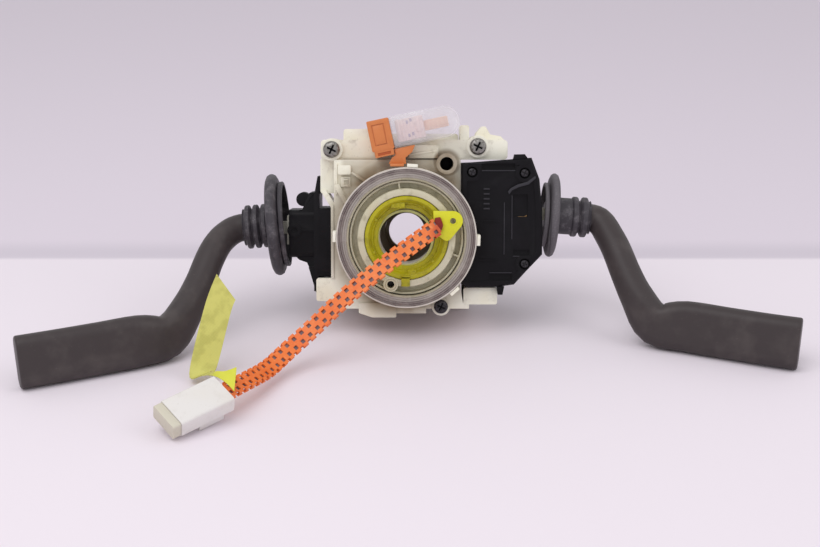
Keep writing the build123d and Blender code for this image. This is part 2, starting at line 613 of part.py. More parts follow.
# ============================ switch cases ====================================================
def left_case():
    box = block(L_CASE_X, (PLATE_T, CASE_BACK), L_CASE_Z)
    neck = fillet(block((L_NECK_X, L_CASE_X[0] + 1), L_NECK_Y, L_NECK_Z).edges().filter_by(Axis.X), 4.0)
    flange = plate([(-61.0, -37.0), (-57.6, -37.0), (-57.6, -28.4), (-57.6, 28.0), (-61.0, 28.0)],
                   (PLATE_T, 44.0))
    slope = plate([(-70.0, 14.0), (-64.2, 27.6), (-60.0, 28.2), (-60.0, 14.0)], (9.0, 40.0))
    bump = rod_y(4.6, (10.0, 22.0), -68.2, 23.4)
    hook = plate([(-60.6, 27.0), (-58.4, 39.0), (-56.8, 38.0), (-56.8, 27.0)], (6.0, 24.0), 0.4)
    strip = plate([(-64.8, -21.4), (-60.0, -38.0), (-57.7, -38.0), (-57.7, -20.0)], (8.0, 30.0))
    steps = plate([(-73.6, -14.0), (-71.2, -16.6), (-66.0, -18.4), (-64.6, -21.6), (-60.5, -21.6),
                   (-60.5, -14.0)], (10.0, 38.0))
    body = box + neck + flange + slope + bump + hook + strip + steps
    body += ring_y(4.6, STUB_R - 0.4, (L_NECK_Y[0] - 1.2, L_NECK_Y[0] + 1), L_PIVOT[0], L_PIVOT[2])
    body += block((L_PIVOT[0] + 4.4, -61.0), (L_NECK_Y[0] - 0.9, L_NECK_Y[0] + 1),
                  (L_PIVOT[2] - 0.7, L_PIVOT[2] + 0.7))
    wall = CASE_WALL
    inside = block((L_CASE_X[0] + wall - 4.0, L_CASE_X[1] - wall), (PLATE_T + wall, CASE_BACK - wall),
                   (L_CASE_Z[0] + wall, L_CASE_Z[1] - wall))
    throat = block((L_NECK_X - 1, L_CASE_X[0] + 4), (L_NECK_Y[0] + wall, L_NECK_Y[1] - wall),
                   (L_NECK_Z[0] + wall, L_NECK_Z[1] - wall))
    body -= inside + throat
    # socket at the back, pin holes, the slot for the cancel pawl
    body += socket_shroud(L_SOCKET_X, L_SOCKET_Z)
    body -= rod_y(STUB_R, (L_NECK_Y[0] + 0.6, L_NECK_Y[0] + 4), L_PIVOT[0], L_PIVOT[2])
    body -= rod_y(STUB_R, (L_NECK_Y[1] - 4, L_NECK_Y[1] - 0.6), L_PIVOT[0], L_PIVOT[2])
    slot_z = (PAWL_Z[0] - SLIDE_GAP, PAWL_Z[1] + SLIDE_GAP)
    return body - block((L_CASE_X[1] - wall - 1, L_CASE_X[1] + 1), PAWL_SLOT_Y, slot_z)


def socket_shroud(x, z):
    """A rectangular plug socket behind a case's rear wall, open to the rear."""
    wall = SOCKET_WALL
    outer = block(x, (CASE_BACK - 0.5, CASE_BACK + SOCKET_DEPTH), z)
    inner = block((x[0] + wall, x[1] - wall), (CASE_BACK, CASE_BACK + SOCKET_DEPTH + 1),
                  (z[0] + wall, z[1] - wall))
    return outer - inner


def cancel_pawl():
    tongue = block((-33.5, -(CAM_R + 1.0)), (PAWL_Y[0], CAM_Y[1]), PAWL_Z)
    stop = block((-33.5, L_CASE_X[1] - CASE_WALL - SLIDE_GAP), PAWL_Y, (PAWL_Z[0] - 2.0, PAWL_Z[1] + 2.0))
    return tongue + stop


def contact_board(x, z, holes):
    """A board with its blades pressed through the case's rear wall."""
    board = block(x, (BOARD_FRONT, CASE_BACK - CASE_WALL), z)
    for hole_x, hole_z in holes:
        board -= blade(hole_x, hole_z, (BOARD_FRONT - 0.4, CASE_BACK - 1.0))
    return board


def blade_places(x, z, columns, rows):
    step_x = (x[1] - x[0]) / columns
    step_z = (z[1] - z[0]) / rows
    across = [x[0] + step_x * (column + 0.5) for column in range(columns)]
    up = [z[0] + step_z * (row + 0.5) for row in range(rows)]
    return [(blade_x, blade_z) for blade_x in across for blade_z in up]


def blade(x, z, y):
    return block((x - BLADE_W / 2, x + BLADE_W / 2), y, (z - BLADE_T / 2, z + BLADE_T / 2))


def blades(places):
    return group([blade(x, z, (BOARD_FRONT, CASE_BACK + BLADE_OUT)) for x, z in places])


def blade_holes(places):
    cut = None
    for x, z in places:
        hole = blade(x, z, (CASE_BACK - CASE_WALL - 1, CASE_BACK + 1))
        cut = hole if cut is None else cut + hole
    return cut


def inset(points, amount):
    """The outline moved inwards by amount, as one face."""
    return offset(Polygon(*points, align=None), -amount, kind=Kind.INTERSECTION)


def prism(face, y):
    return Pos(0, y[1], 0) * extrude(Plane.XZ * face, amount=y[1] - y[0], dir=(0, -1, 0))


def right_case():
    outer = plate(CASE_OUTLINE, (-1.0, CASE_BACK))
    body = outer - prism(inset(CASE_OUTLINE, CASE_WALL), (-2.0, CASE_BACK - CASE_WALL))
    px, py, pz = R_PIVOT
    for y in ((4.5, py - YOKE_HALF_Y - SLIDE_GAP), (py + YOKE_HALF_Y + SLIDE_GAP, CASE_BACK - 1.0)):
        body += block((px - 6.0, R_CASE_X[1] - 0.5), y, (pz - 8.0, pz + 8.0))
        body -= rod_y(STUB_R, (y[0] + 0.8, y[1] + 0.1) if y[0] < py else (y[0] - 0.1, y[1] - 1.5), px, pz)
    body -= block((R_CASE_X[1] - 3.5, R_CASE_X[1] + 1), (py - 14.3, py + 14.3), (pz - 12.5, pz + 12.5))
    for x, z in COVER_SCREWS:
        body += rod_y(COVER_BOSS_R, (0.4, 12.0), x, z)
        body -= rod_y(COVER_SHANK_R, (-2.0, 12.0), x, z)
    body -= rod_y(RING_R + SLIDE_GAP, (-2.0, SLIDE_GAP))
    return body + socket_shroud(R_SOCKET_X, R_SOCKET_Z)


def right_cover():
    y = COVER_Y
    body = prism(Polygon(*COVER_OUTLINE, align=None), y)
    rim = body.edges().group_by(Axis.Y)[0]
    body = chamfer(rim, 1.4)
    recess = prism(inset(COVER_OUTLINE, 4.0), (y[0] - 1, y[0] + 0.8))
    for at in COVER_SCREWS:
        recess -= rod_y(6.2, y, *at)
    body -= recess
    for x, z in COVER_SCREWS:
        body -= rod_y(3.6, (y[0] - 1, COVER_SEAT_Y), x, z)
        body -= rod_y(1.9, (y[0], y[1] + 1), x, z)
    body += plate([(65.6, 28.8), (72.0, 33.6), (78.4, 35.4), (83.6, 39.4), (84.2, 37.8), (79.2, 33.6),
                   (72.8, 31.8), (66.6, 27.2)], (y[0] - 0.3, y[0] + 1.5))
    body += block((48.8, 61.5), (y[0] + 0.1, y[0] + 1.5), (9.2, 10.2))
    body += block((47.6, 59.6), (y[0] + 0.1, y[0] + 1.5), (-16.3, -15.3))
    body -= block((48.6, 70.4), (y[0] - 1, y[0] + 2.6), (43.2, 47.2))
    body -= block((54.0, 68.6), (y[0] - 1, y[0] + 2.6), (-28.8, -24.4))
    body -= block((69.0, 78.8), (y[0] - 1, y[0] + 3.0), (12.6, 27.2))
    body -= block((69.5, 80.0), (y[0] - 1, y[0] + 2.2), (-12.6, -8.8))
    for row in range(4):
        z = 30.0 - row * 3.4
        body += block((50.0, 54.0), (y[0] + 0.3, y[0] + 1.5), (z, z + 1.6))
    body += plate([(58.6, -33.0), (59.6, -38.4), (62.6, -38.4), (63.8, -33.0)], (y[0] + 0.6, y[1]))
    body += plate([(69.0, 49.8), (69.8, 53.0), (76.6, 53.2), (78.6, 50.5)], (y[0] + 0.8, y[1]))
    return body - rod_y(RING_R + 2 * SLIDE_GAP, (y[0] - 1, y[1] + 1))


def cover_screws():
    return group([pan_screw(at, COVER_SEAT_Y, 12.0, 3.0, 1.8, COVER_SHANK_R) for at in COVER_SCREWS])


# ============================ harness, in the table's frame ===================================
# Route of the flat sheath's centre line, from the yellow ear to the connector.
SHEATH_W, SHEATH_T = 11.5, 3.2
SHEATH_ROUTE = [(19.4, -25.2, 81.0), (4.5, -35.5, 73.4), (-15.0, -45.5, 61.5), (-38.0, -52.0, 44.2),
                (-59.7, -58.2, 24.0), (-73.8, -68.5, 14.5), (-84.5, -86.5, 9.8), (-93.6, -110.0, 14.2),
                (-105.7, -130.4, 15.4)]
CONNECTOR_SIZE = (41.0, 22.0, 11.0)
CONNECTOR_AT = (-121.4, -144.0, 12.6)
CONNECTOR_TURN = 220.0      # its long axis, from the sheath's end outwards, about Z
CONNECTOR_PITCH = 8.0       # its cap's end lies lower
CONNECTOR_ROLL = -20.0      # its broad face looks forwards
CONNECTOR_WALL = 1.8
CAP_LONG = 5.5
CAP_PLUG = 9.0              # how far the cap reaches into the connector
KEEL_LONG, KEEL_T, KEEL_DEPTH = 16.5, 4.5, 4.0


def route_in_row():
    return [(x + BORE_X, y + BORE_Y, z) for x, y, z in SHEATH_ROUTE]


def arc_radii(points):
    """Largest tangent arcs of a route: 0.45 of the shorter run at each corner."""
    radii = []
    for before, corner, after in zip(points, points[1:], points[2:]):
        arriving = Vector(*corner) - Vector(*before)
        leaving = Vector(*after) - Vector(*corner)
        turn = math.radians(arriving.get_angle(leaving))
        shorter = min(arriving.length, leaving.length)
        radii.append(0.45 * shorter / math.tan(turn / 2))
    return radii


def harness_sheath():
    points = route_in_row()
    radii = arc_radii(points)
    path = FilletPolyline(*points, radius=radii)
    start = Vector(*points[0])
    along = (Vector(*points[1]) - start).normalized()
    level = along.cross(Vector(0, 0, 1)).normalized()
    section = Plane(origin=start, x_dir=level, z_dir=along) * RectangleRounded(SHEATH_W, SHEATH_T, 1.2)
    tube = sweep(section, path=path)
    print("sheath length %.1f, radii %s" % (path.length, ", ".join("%.0f" % r for r in radii)))
    print("sheath volume %.0f of %.0f" % (tube.volume, section.area * path.length))
    return tube


def connector_place():
    x, y, z = CONNECTOR_AT
    turn = Rot(0, 0, CONNECTOR_TURN) * Rot(0, CONNECTOR_PITCH, 0) * Rot(CONNECTOR_ROLL, 0, 0)
    return Pos(x + BORE_X, y + BORE_Y, z) * turn


def centred(x, wide, thick):
    """A box about the connector's long axis, from x[0] to x[1]."""
    return block(x, (-wide / 2, wide / 2), (-thick / 2, thick / 2))


def airbag_connector():
    """The connector's body, hollow where the cap plugs in, with a keel under its lower side."""
    long, wide, thick = CONNECTOR_SIZE
    x = (-long / 2, long / 2 - CAP_LONG)
    body = fillet(centred(x, wide, thick).edges().filter_by(Axis.X), 1.6)
    hollow = (x[1] - CAP_PLUG - 5.0, x[1] + 1)
    body -= centred(hollow, wide - 2 * CONNECTOR_WALL, thick - 2 * CONNECTOR_WALL)
    keel_y = wide / 2 - 1.5
    body += block((x[0] + 6.0, x[0] + 6.0 + KEEL_LONG), (keel_y - KEEL_T, keel_y),
                  (-thick / 2 - KEEL_DEPTH, -thick / 2 + 0.5))
    return connector_place() * body


def connector_cap():
    long, wide, thick = CONNECTOR_SIZE
    x = (long / 2 - CAP_LONG, long / 2)
    body = fillet(centred(x, wide - 1.2, thick - 1.2).edges().filter_by(Axis.X), 1.2)
    room = 2 * (CONNECTOR_WALL + SLIDE_GAP)
    plug = centred((x[0] - CAP_PLUG, x[0] + 0.5), wide - room, thick - room)
    return connector_place() * (body + plug)


# The tag's strip, from its wrap on the sheath to its free end: (left edge, right edge) each.
TAG_STRIP = [((-103.6, -126.8, 17.6), (-94.3, -110.6, 16.7)),
             ((-117.0, -110.0, 15.2), (-111.0, -99.5, 14.0)),
             ((-124.0, -99.0, 11.8), (-118.5, -92.5, 11.6)), ((-133.5, -82.0, 5.2), (-116.5, -79.5, 9.0)),
             ((-124.5, -65.5, 42.5), (-108.5, -66.5, 38.5)), ((-117.0, -58.0, 61.5), (-105.5, -62.5, 46.0))]
TAG_T = 0.8


def harness_tag():
    """The tag as one ribbon, ruled from edge to edge."""
    rungs = [[Vector(x + BORE_X, y + BORE_Y, z) for x, y, z in rung] for rung in TAG_STRIP]
    middles = [(left + right) / 2 for left, right in rungs]
    sections = []
    for number, (left, right) in enumerate(rungs):
        before = middles[max(number - 1, 0)]
        after = middles[min(number + 1, len(rungs) - 1)]
        across = (right - left).normalized()
        half = (after - before).cross(across).normalized() * (TAG_T / 2)
        corners = (left - half, right - half, right + half, left + half)
        sections.append(make_face(Polyline(*corners, close=True)))
    return loft(sections, ruled=True)


# ============================ the whole unit ==================================================
BORE_HEIGHT = (REAR_FOOT_Y * math.sin(math.radians(LEAN)) - REAR_FOOT_Z * math.cos(math.radians(LEAN)))
UNIT = Pos(BORE_X, BORE_Y, BORE_HEIGHT) * Rot(-LEAN, 0, 0)
L_CORE_Z, R_CORE_Z = 1.0, 0.0
L_BLADES = blade_places((-52.0, -34.0), (-23.0, -12.0), 4, 2)
R_BLADES = blade_places((47.0, 67.0), (-27.0, -15.0), 5, 2)


def lever_nodes(side, pivot, outward, core_z):
    return {
        side + "_yoke": put(yoke(core_z), pivot, outward),
        side + "_lever_core": put(lever_core(core_z), pivot, outward),
        side + "_lever_pin": put(lever_pin(), pivot, outward),
        side + "_detent_plunger": put(plunger(), pivot, outward),
        side + "_detent_spring": put(detent_spring(), pivot, outward),
        side + "_contact_slider": put(contact_slider(), pivot, outward),
        side + "_slider_contacts": put(slider_contacts(), pivot, outward),
    }


def boot_at(pivot, outward, start_z, tilt, shape):
    """A boot about its stalk's axis, which drops outwards by tilt degrees."""
    leaned = Pos(0, 0, start_z - pivot[2]) * Rot(0, tilt, 0) * shape
    return put(leaned, pivot, outward)


def build():
    nodes = {
        "stator_housing": stator_housing(),
        "stator_cover": stator_cover(),
        "flat_cable_coil": flat_cable_coil(),
        "rotor_disc": rotor_disc(),
        "rotor_rim": rotor_rim(),
        "rotor_wall": rotor_wall(),
        "rotor_hub": rotor_hub(),
        "drive_boss": drive_boss(),
        "yellow_ring": yellow_ring(),
        "cancel_cam": cancel_cam(),
        "switch_bracket": switch_bracket(),
        "stator_screws": stator_screws(),
        "bracket_screws": bracket_screws(),
        "column_bush": column_bush(),
        "orange_plug": orange_plug(),
        "plug_terminals": plug_terminals(),
        "clear_cap": clear_cap(),
        "cap_insert": cap_insert(),
        "orange_lead_arm": orange_lead_arm(),
        "left_case": left_case() - blade_holes(L_BLADES),
        "left_contact_board": contact_board(L_BOARD_X, L_BOARD_Z, L_BLADES),
        "left_terminals": blades(L_BLADES),
        "cancel_pawl": cancel_pawl(),
        "right_case": right_case() - blade_holes(R_BLADES),
        "right_cover": right_cover(),
        "cover_screws": cover_screws(),
        "right_contact_board": contact_board(R_BOARD_X, R_BOARD_Z, R_BLADES),
        "right_terminals": blades(R_BLADES),
    }
    nodes.update(lever_nodes("left", L_PIVOT, -1, L_CORE_Z))
    nodes.update(lever_nodes("right", R_PIVOT, 1, R_CORE_Z))
    nodes["left_pivot_stubs"] = put(stub_pins(16.3), L_PIVOT, -1)
    nodes["right_pivot_stubs"] = put(stub_pins(18.4), R_PIVOT, 1)
    nodes["left_detent_plate"] = put(detent_plate(11.0, 11.0, L_DETENT_T), L_PIVOT, -1)
    nodes["right_detent_plate"] = put(detent_plate(11.0, 13.0, R_DETENT_T), R_PIVOT, 1)
    for side, pivot, outward, core_z, tube, grip in (
            ("left", L_PIVOT, -1, L_CORE_Z, LEFT_STALK, LEFT_GRIP),
            ("right", R_PIVOT, 1, R_CORE_Z, RIGHT_STALK, RIGHT_GRIP)):
        nodes[side + "_stalk"] = stalk(tube, grip) - core_socket(core_z, pivot, outward)
    nodes["left_boot"] = boot_at(L_PIVOT, -1, 7.0, 5.0, boot(*LEFT_BOOT, STALK_R + BOOT_GAP))
    nodes["right_boot"] = boot_at(R_PIVOT, 1, 13.4, 4.0, boot(*RIGHT_BOOT, STALK_R + BOOT_GAP))
    placed = {name: UNIT * shape for name, shape in nodes.items()}
    placed["harness_sheath"] = harness_sheath()
    placed["airbag_connector"] = airbag_connector()
    placed["connector_cap"] = connector_cap()
    placed["harness_tag"] = harness_tag()
    return placed


def main():
    os.makedirs("parts", exist_ok=True)
    placed = build()
    for name, shape in placed.items():
        export_step(shape, "parts/%s.step" % name)
    free = ("harness_sheath", "airbag_connector", "connector_cap", "harness_tag")
    box = Compound(children=[shape for name, shape in placed.items() if name not in free]).bounding_box()
    print("box without the harness %s to %s" % (box.min, box.max))
    print("column axis height %.2f" % BORE_HEIGHT)


main()
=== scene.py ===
"""Models and finishes a steering column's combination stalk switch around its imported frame."""

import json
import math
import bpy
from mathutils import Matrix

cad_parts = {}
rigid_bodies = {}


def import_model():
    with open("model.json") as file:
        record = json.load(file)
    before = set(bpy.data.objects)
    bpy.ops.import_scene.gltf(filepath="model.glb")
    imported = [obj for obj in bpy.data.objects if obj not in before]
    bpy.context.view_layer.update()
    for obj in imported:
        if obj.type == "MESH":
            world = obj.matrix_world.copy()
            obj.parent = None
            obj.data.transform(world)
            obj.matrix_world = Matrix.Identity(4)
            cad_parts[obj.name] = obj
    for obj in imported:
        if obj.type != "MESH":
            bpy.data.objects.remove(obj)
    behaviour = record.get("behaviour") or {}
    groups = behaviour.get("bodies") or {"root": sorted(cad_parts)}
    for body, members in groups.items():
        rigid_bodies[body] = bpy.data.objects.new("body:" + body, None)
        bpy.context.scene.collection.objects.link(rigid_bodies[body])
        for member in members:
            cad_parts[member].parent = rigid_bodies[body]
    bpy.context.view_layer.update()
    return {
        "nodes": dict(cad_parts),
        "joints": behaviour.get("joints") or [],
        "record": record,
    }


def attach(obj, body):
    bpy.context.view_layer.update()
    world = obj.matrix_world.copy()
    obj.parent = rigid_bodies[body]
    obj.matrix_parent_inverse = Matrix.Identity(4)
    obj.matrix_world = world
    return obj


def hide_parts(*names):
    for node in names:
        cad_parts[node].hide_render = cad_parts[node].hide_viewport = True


bl_info = {
    "name": "Combination Stalk Switch",
    "version": (1, 0, 0),
    "blender": (4, 5, 0),
    "location": "3D View > Sidebar > Stalk Switch",
    "description": "Models and finishes a steering column's combination stalk switch",
    "category": "Add Mesh",
}

import bmesh
import bpy
from mathutils import Euler, Matrix, Vector

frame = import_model()

# ---- the unit's own frame: the column's axis is Y, right is X, millimetres -------------------
MM = 0.001
TURN_JOINT = next(joint for joint in frame["joints"] if joint["name"] == "rotor_turn")
X, Y, Z = Vector((1, 0, 0)), Vector((0, 1, 0)), Vector((0, 0, 1))
AXIS = Vector(TURN_JOINT["axis"])
UPRIGHT = X.cross(AXIS)
CENTRE = Vector(TURN_JOINT["pos_m"])
LEAN = math.acos(AXIS.y)
UNIT = Matrix.Translation(CENTRE) @ Matrix((X, AXIS, UPRIGHT)).transposed().to_4x4() @ Matrix.Scale(MM, 4)
TABLE = Matrix.Translation((CENTRE.x, CENTRE.y, 0)) @ Matrix.Scale(MM, 4)

# ---- sizes shared between pieces, in millimetres ---------------------------------------------
RING_R = 45.0                   # clock spring's cover: outer and inner radius, front
COVER_IN = 36.95
FACE_Y = -22.0
ROTOR_R, RIM_IN = 36.6, 35.2    # rotor: its rim's radii, raised wall's radii and front, groove's floor
WALL_OUT, WALL_IN = 31.6, 27.0
ROTOR_Y = -21.4
GROOVE_Y = -12.0
HUB_OUT, HUB_IN = 20.2, 17.6
DRIVE_BOSS = (-10.1, -29.9)     # places in X and Z
POST = (26.0, 47.0)
EAR_HOLE = (29.6, 11.0)
ROUND = 128                     # steps of the large turned pieces
PLUG = UNIT @ Matrix.Translation((-16.8, -5.0, 65.5)) @ Matrix.Rotation(math.radians(-12), 4, "Y")


def linear(red, green, blue):
    """A colour from its 8-bit values."""
    return [((v / 255 + 0.055) / 1.055) ** 2.4 if v > 10 else v / 255 / 12.92 for v in (red, green, blue)]


# ============================ settings ========================================================
def shade(name, text, *rgb):
    return bpy.props.FloatVectorProperty(name=name, description=text, subtype="COLOR", size=3, min=0, max=1,
                                         default=linear(*rgb))


def length(name, text, value):
    return bpy.props.FloatProperty(name=name, description=text, default=value, unit="LENGTH", min=0)


class StageSettings(bpy.types.PropertyGroup):
    table: shade("Table", "Colour of the table", 236, 227, 236)
    backdrop: shade("Backdrop", "Colour beyond the table's edge", 222, 212, 224)
    fold: length("Edge", "Distance of the table's edge behind the middle of the unit", 0.150)
    lamp: bpy.props.FloatProperty(name="Lamp", description="Power of the large lamp", default=7.0, min=0)


class PlasticSettings(bpy.types.PropertyGroup):
    nylon: shade("Nylon", "Bracket, housing and rotor", 238, 235, 222)
    # Also the colour of the nylon's painted shade, around the clock spring, the post and the front plate's
    # recess and towards the rear
    dirt_and_shade: shade("Dirt", "Dust that settled in the corners", 120, 98, 72)
    stalk: shade("Stalk", "Levers", 62, 55, 56)
    rubber: shade("Rubber", "Boots", 62, 58, 64)
    dust: shade("Dust", "Pale dust on dark pieces", 132, 127, 132)
    case: shade("Case", "Switch cases", 17, 15, 19)
    yellow: shade("Yellow", "Ring in the rotor", 178, 170, 14)
    ear: shade("Ear", "Ear of the yellow ring", 214, 212, 34)
    orange: shade("Orange", "Plug and lead arm", 208, 124, 70)
    pink: shade("Pink", "Insert under the clear cap", 240, 216, 212)
    cover: shade("Clear", "Clear cover of the clock spring", 112, 98, 97)
    rotor: shade("Rotor", "Rotor, yellowed by grease", 202, 196, 172)


class HarnessSettings(bpy.types.PropertyGroup):
    sheath: shade("Sheath", "Perforated sheath", 238, 132, 70)
    connector: shade("Connector", "Connector's body", 226, 222, 220)
    cap: shade("Cap", "Connector's end cap", 206, 200, 184)
    tag: shade("Tag", "Woven tag", 206, 202, 110)
    width: length("Width", "Width of the sheath over its teeth", 0.0115)
    thickness: length("Thickness", "Thickness of the sheath", 0.0032)
    pitch: length("Pitch", "Distance from hole to hole", 0.0064)


SETTINGS = {"stage": StageSettings, "plastic": PlasticSettings, "harness": HarnessSettings}


def settings(group):
    return getattr(bpy.context.scene, "stalk_switch_" + group)


# ============================ shaders =========================================================
class Wire:
    """A shader socket that takes part in sums."""

    def __init__(self, finish, socket):
        self.finish = finish
        self.socket = socket

    def math(self, operation, *values):
        return self.finish.node("Math", {"operation": operation}, dict(enumerate(values)))

    def __add__(self, other):
        return self.math("ADD", self, other)

    def __sub__(self, other):
        return self.math("SUBTRACT", self, other)

    def __rsub__(self, other):
        return self.math("SUBTRACT", other, self)

    def __mul__(self, other):
        return self.math("MULTIPLY", self, other)

    def __pow__(self, other):
        return self.math("POWER", self, other)

    __radd__ = __add__
    __rmul__ = __mul__

    def above(self, low, high):
        """0 under low, 1 over high, smooth between."""
        sockets = {"Value": self, "From Min": low, "From Max": high}
        return self.finish.node("MapRange", {"interpolation_type": "SMOOTHSTEP"}, sockets)

    def waves(self, period):
        """A sine between 0 and 1."""
        return self.math("SINE", self * (math.tau / period)) * 0.5 + 0.5

    def most(self, other):
        return self.math("MAXIMUM", self, other)

    def size(self):
        return self.math("ABSOLUTE", self)


class Finish:
    """A material under construction."""

    def __init__(self, name, **constants):
        self.material = bpy.data.materials.new(name)
        self.material.use_nodes = True
        self.tree = self.material.node_tree
        self.shader = self.tree.nodes["Principled BSDF"]
        for name, value in constants.items():
            self.put(name, value)

    def put(self, name, value):
        """Feeds or sets one of the shader's sockets, named as base_color or roughness."""
        self.feed(self.shader.inputs[name.replace("_", " ").title().replace("Ior", "IOR")], value)

    def feed(self, socket, value):
        if isinstance(value, Wire):
            self.tree.links.new(value.socket, socket)
        elif socket.type == "RGBA":
            socket.default_value = [*value][:3] + [1.0]
        else:
            socket.default_value = value

    def node(self, kind, settings=None, sockets=None, out=None):
        """Adds a node, with its settings first and then its sockets' values or links."""
        node = self.tree.nodes.new("ShaderNode" + kind)
        for key, value in (settings or {}).items():
            setattr(node, key, value)
        live = [socket for socket in node.inputs if socket.enabled]
        for key, value in (sockets or {}).items():
            socket = live[key] if isinstance(key, int) else next(s for s in live if s.name == key)
            self.feed(socket, value)
        outputs = [socket for socket in node.outputs if socket.enabled]
        chosen = outputs[0] if out is None else next(s for s in outputs if s.name == out)
        return Wire(self, chosen)

    def place(self):
        """Place on the piece in the unit's own frame, in millimetres."""
        spot = self.node("TexCoord", out="Object")
        turn = Euler((LEAN, 0, 0))
        shift = -(turn.to_matrix() @ CENTRE) / MM
        sockets = {"Vector": spot, "Location": shift, "Rotation": turn, "Scale": (1 / MM,) * 3}
        return self.node("Mapping", sockets=sockets)

    def parts(self, vector):
        node = self.tree.nodes.new("ShaderNodeSeparateXYZ")
        self.feed(node.inputs[0], vector)
        return [Wire(self, socket) for socket in node.outputs]

    def noise(self, vector, scale, detail=3.0, roughness=0.5):
        sockets = {"Vector": vector, "Scale": scale, "Detail": detail, "Roughness": roughness}
        return self.node("TexNoise", sockets=sockets, out="Fac")

    def mix(self, factor, first, second):
        return self.node("Mix", {"data_type": "RGBA"}, {"Factor": factor, "A": first, "B": second})

    def bump(self, height, strength, depth=0.0003):
        sockets = {"Height": height, "Strength": strength, "Distance": depth}
        self.put("normal", self.node("Bump", sockets=sockets))


def radial(x, z):
    """Distance from an axis along Y."""
    return (x * x + z * z) ** 0.5


def nylon(name, tone, dirt_and_shade, amount, shade_and_grime=False):
    """Satin natural nylon, yellowed in patches, with brown dust in spots, and brown painted shade towards its
    rear in place of occlusion.

    When asked, brown is also painted around the clock spring, on the hollow post and in the front plate's
    recess: partly grime, partly painted shade that makes the plate look recessed.
    """
    finish = Finish(name, ior=1.5)
    at = finish.place()
    x, y, z = finish.parts(at)
    aged = finish.noise(at, 0.035, 3.0).above(0.38, 0.68)
    aged_tone = [value * share for value, share in zip(tone, (0.94, 0.86, 0.68))]
    smears = finish.noise(at, 0.11, 5.0, 0.62).above(0.50, 0.72)
    specks = finish.noise(at, 0.7, 2.0).above(0.66, 0.76)
    # Painted shade: brown towards the rear, standing in for occlusion
    behind = y.above(8.0, 50.0)
    cover = (smears * 0.5 + behind * 0.25).most(specks * 0.45) * amount
    if shade_and_grime:
        # Painted shade, partly grime: brown around the clock spring, on the post and in the front plate's
        # recess
        rim = 1 - radial(x, z).above(RING_R, 60.0)
        post = 1 - radial(x - POST[0], z - POST[1]).above(7.5, 11.0)
        deep = y.above(-1.5, 1.5) * (1 - y.above(4.0, 9.0))
        high = (1 - z.above(48.0, 52.0)) * z.above(-30.0, -20.0)
        wide = x.above(-44.0, -40.0) * (1 - x.above(36.0, 38.0))
        cover = cover.most(rim.most(post * 1.1).most(wide * deep * high) * (aged * 0.35 + 0.65))
    finish.put("base_color", finish.mix(cover, finish.mix(aged * 0.6 * amount, tone, aged_tone), dirt_and_shade))
    finish.put("roughness", cover * 0.3 + 0.40)
    finish.bump(finish.noise(at, 1.4, 2.0), 0.06)
    return finish.material


def dark_plastic(name, tone, dust, grain, gloss, worn, shine=0.3):
    """Dark moulded plastic with a fine grain, rubbed and dusty in places."""
    finish = Finish(name, ior=1.48, specular_ior_level=shine)
    at = finish.place()
    fine = finish.noise(at, grain, 2.0)
    rubbed = finish.noise(at, 0.05, 3.0, 0.6).above(0.45, 0.75)
    drawn = finish.node("Mapping", sockets={"Vector": at, "Scale": (0.12, 1.0, 1.0)})
    scratches = finish.noise(drawn, 1.2, 3.0).above(0.68, 0.74)
    pale = (rubbed * 0.30 + scratches * 0.35) * worn
    finish.put("base_color", finish.mix(pale, tone, dust))
    finish.put("roughness", gloss + fine * 0.10 - rubbed * 0.06)
    finish.bump(fine, 0.16, 0.0001)
    return finish.material


def rubber(name, tone, dust):
    """Matt rubber with dry, patchy dust, thickest on the right boot's lip and disc."""
    finish = Finish(name, ior=1.5, specular_ior_level=0.35)
    at = finish.place()
    x = finish.parts(at)[0]
    lip = x.above(84.0, 88.0) * (1 - x.above(93.6, 94.6))
    disc = x.above(94.0, 95.0) * (1 - x.above(99.5, 101.5))
    blotches = finish.noise(at, 0.16, 5.0, 0.65).above(0.46, 0.66)
    powder = finish.noise(at, 1.1, 3.0, 0.7).above(0.44, 0.72)
    on_boot = (lip * (powder * 0.3 + 0.7)).most(disc * (powder * 0.3 + 0.3))
    cover = (blotches * (powder * 0.5 + 0.25)).most(on_boot)
    finish.put("base_color", finish.mix(cover, tone, dust))
    finish.put("roughness", cover * 0.25 + 0.52)
    finish.bump(finish.noise(at, 0.9, 4.0), 0.25, 0.0002)
    return finish.material


def stained(name, tone, stain, amount, gloss=0.35):
    """Satin coloured plastic with darker stains."""
    finish = Finish(name, ior=1.47)
    at = finish.place()
    blots = finish.noise(at, 0.12, 5.0, 0.65).above(0.48, 0.72)
    specks = finish.noise(at, 0.8, 2.0).above(0.62, 0.74)
    cover = (blots * 0.7).most(specks * 0.5) * amount
    finish.put("base_color", finish.mix(cover, tone, stain))
    finish.put("roughness", cover * 0.3 + gloss)
    finish.bump(finish.noise(at, 0.7, 2.0), 0.05)
    return finish.material


def metal(name, tone, dull, roughness=0.36):
    """Plated steel or brass, dulled in spots."""
    finish = Finish(name, metallic=1.0)
    at = finish.place()
    spots = finish.noise(at, 0.7, 4.0, 0.6).above(0.42, 0.68)
    finish.put("base_color", finish.mix(spots * 0.7, tone, dull))
    finish.put("roughness", spots * 0.25 + roughness)
    finish.bump(finish.noise(at, 2.2, 2.0), 0.05, 0.0001)
    return finish.material


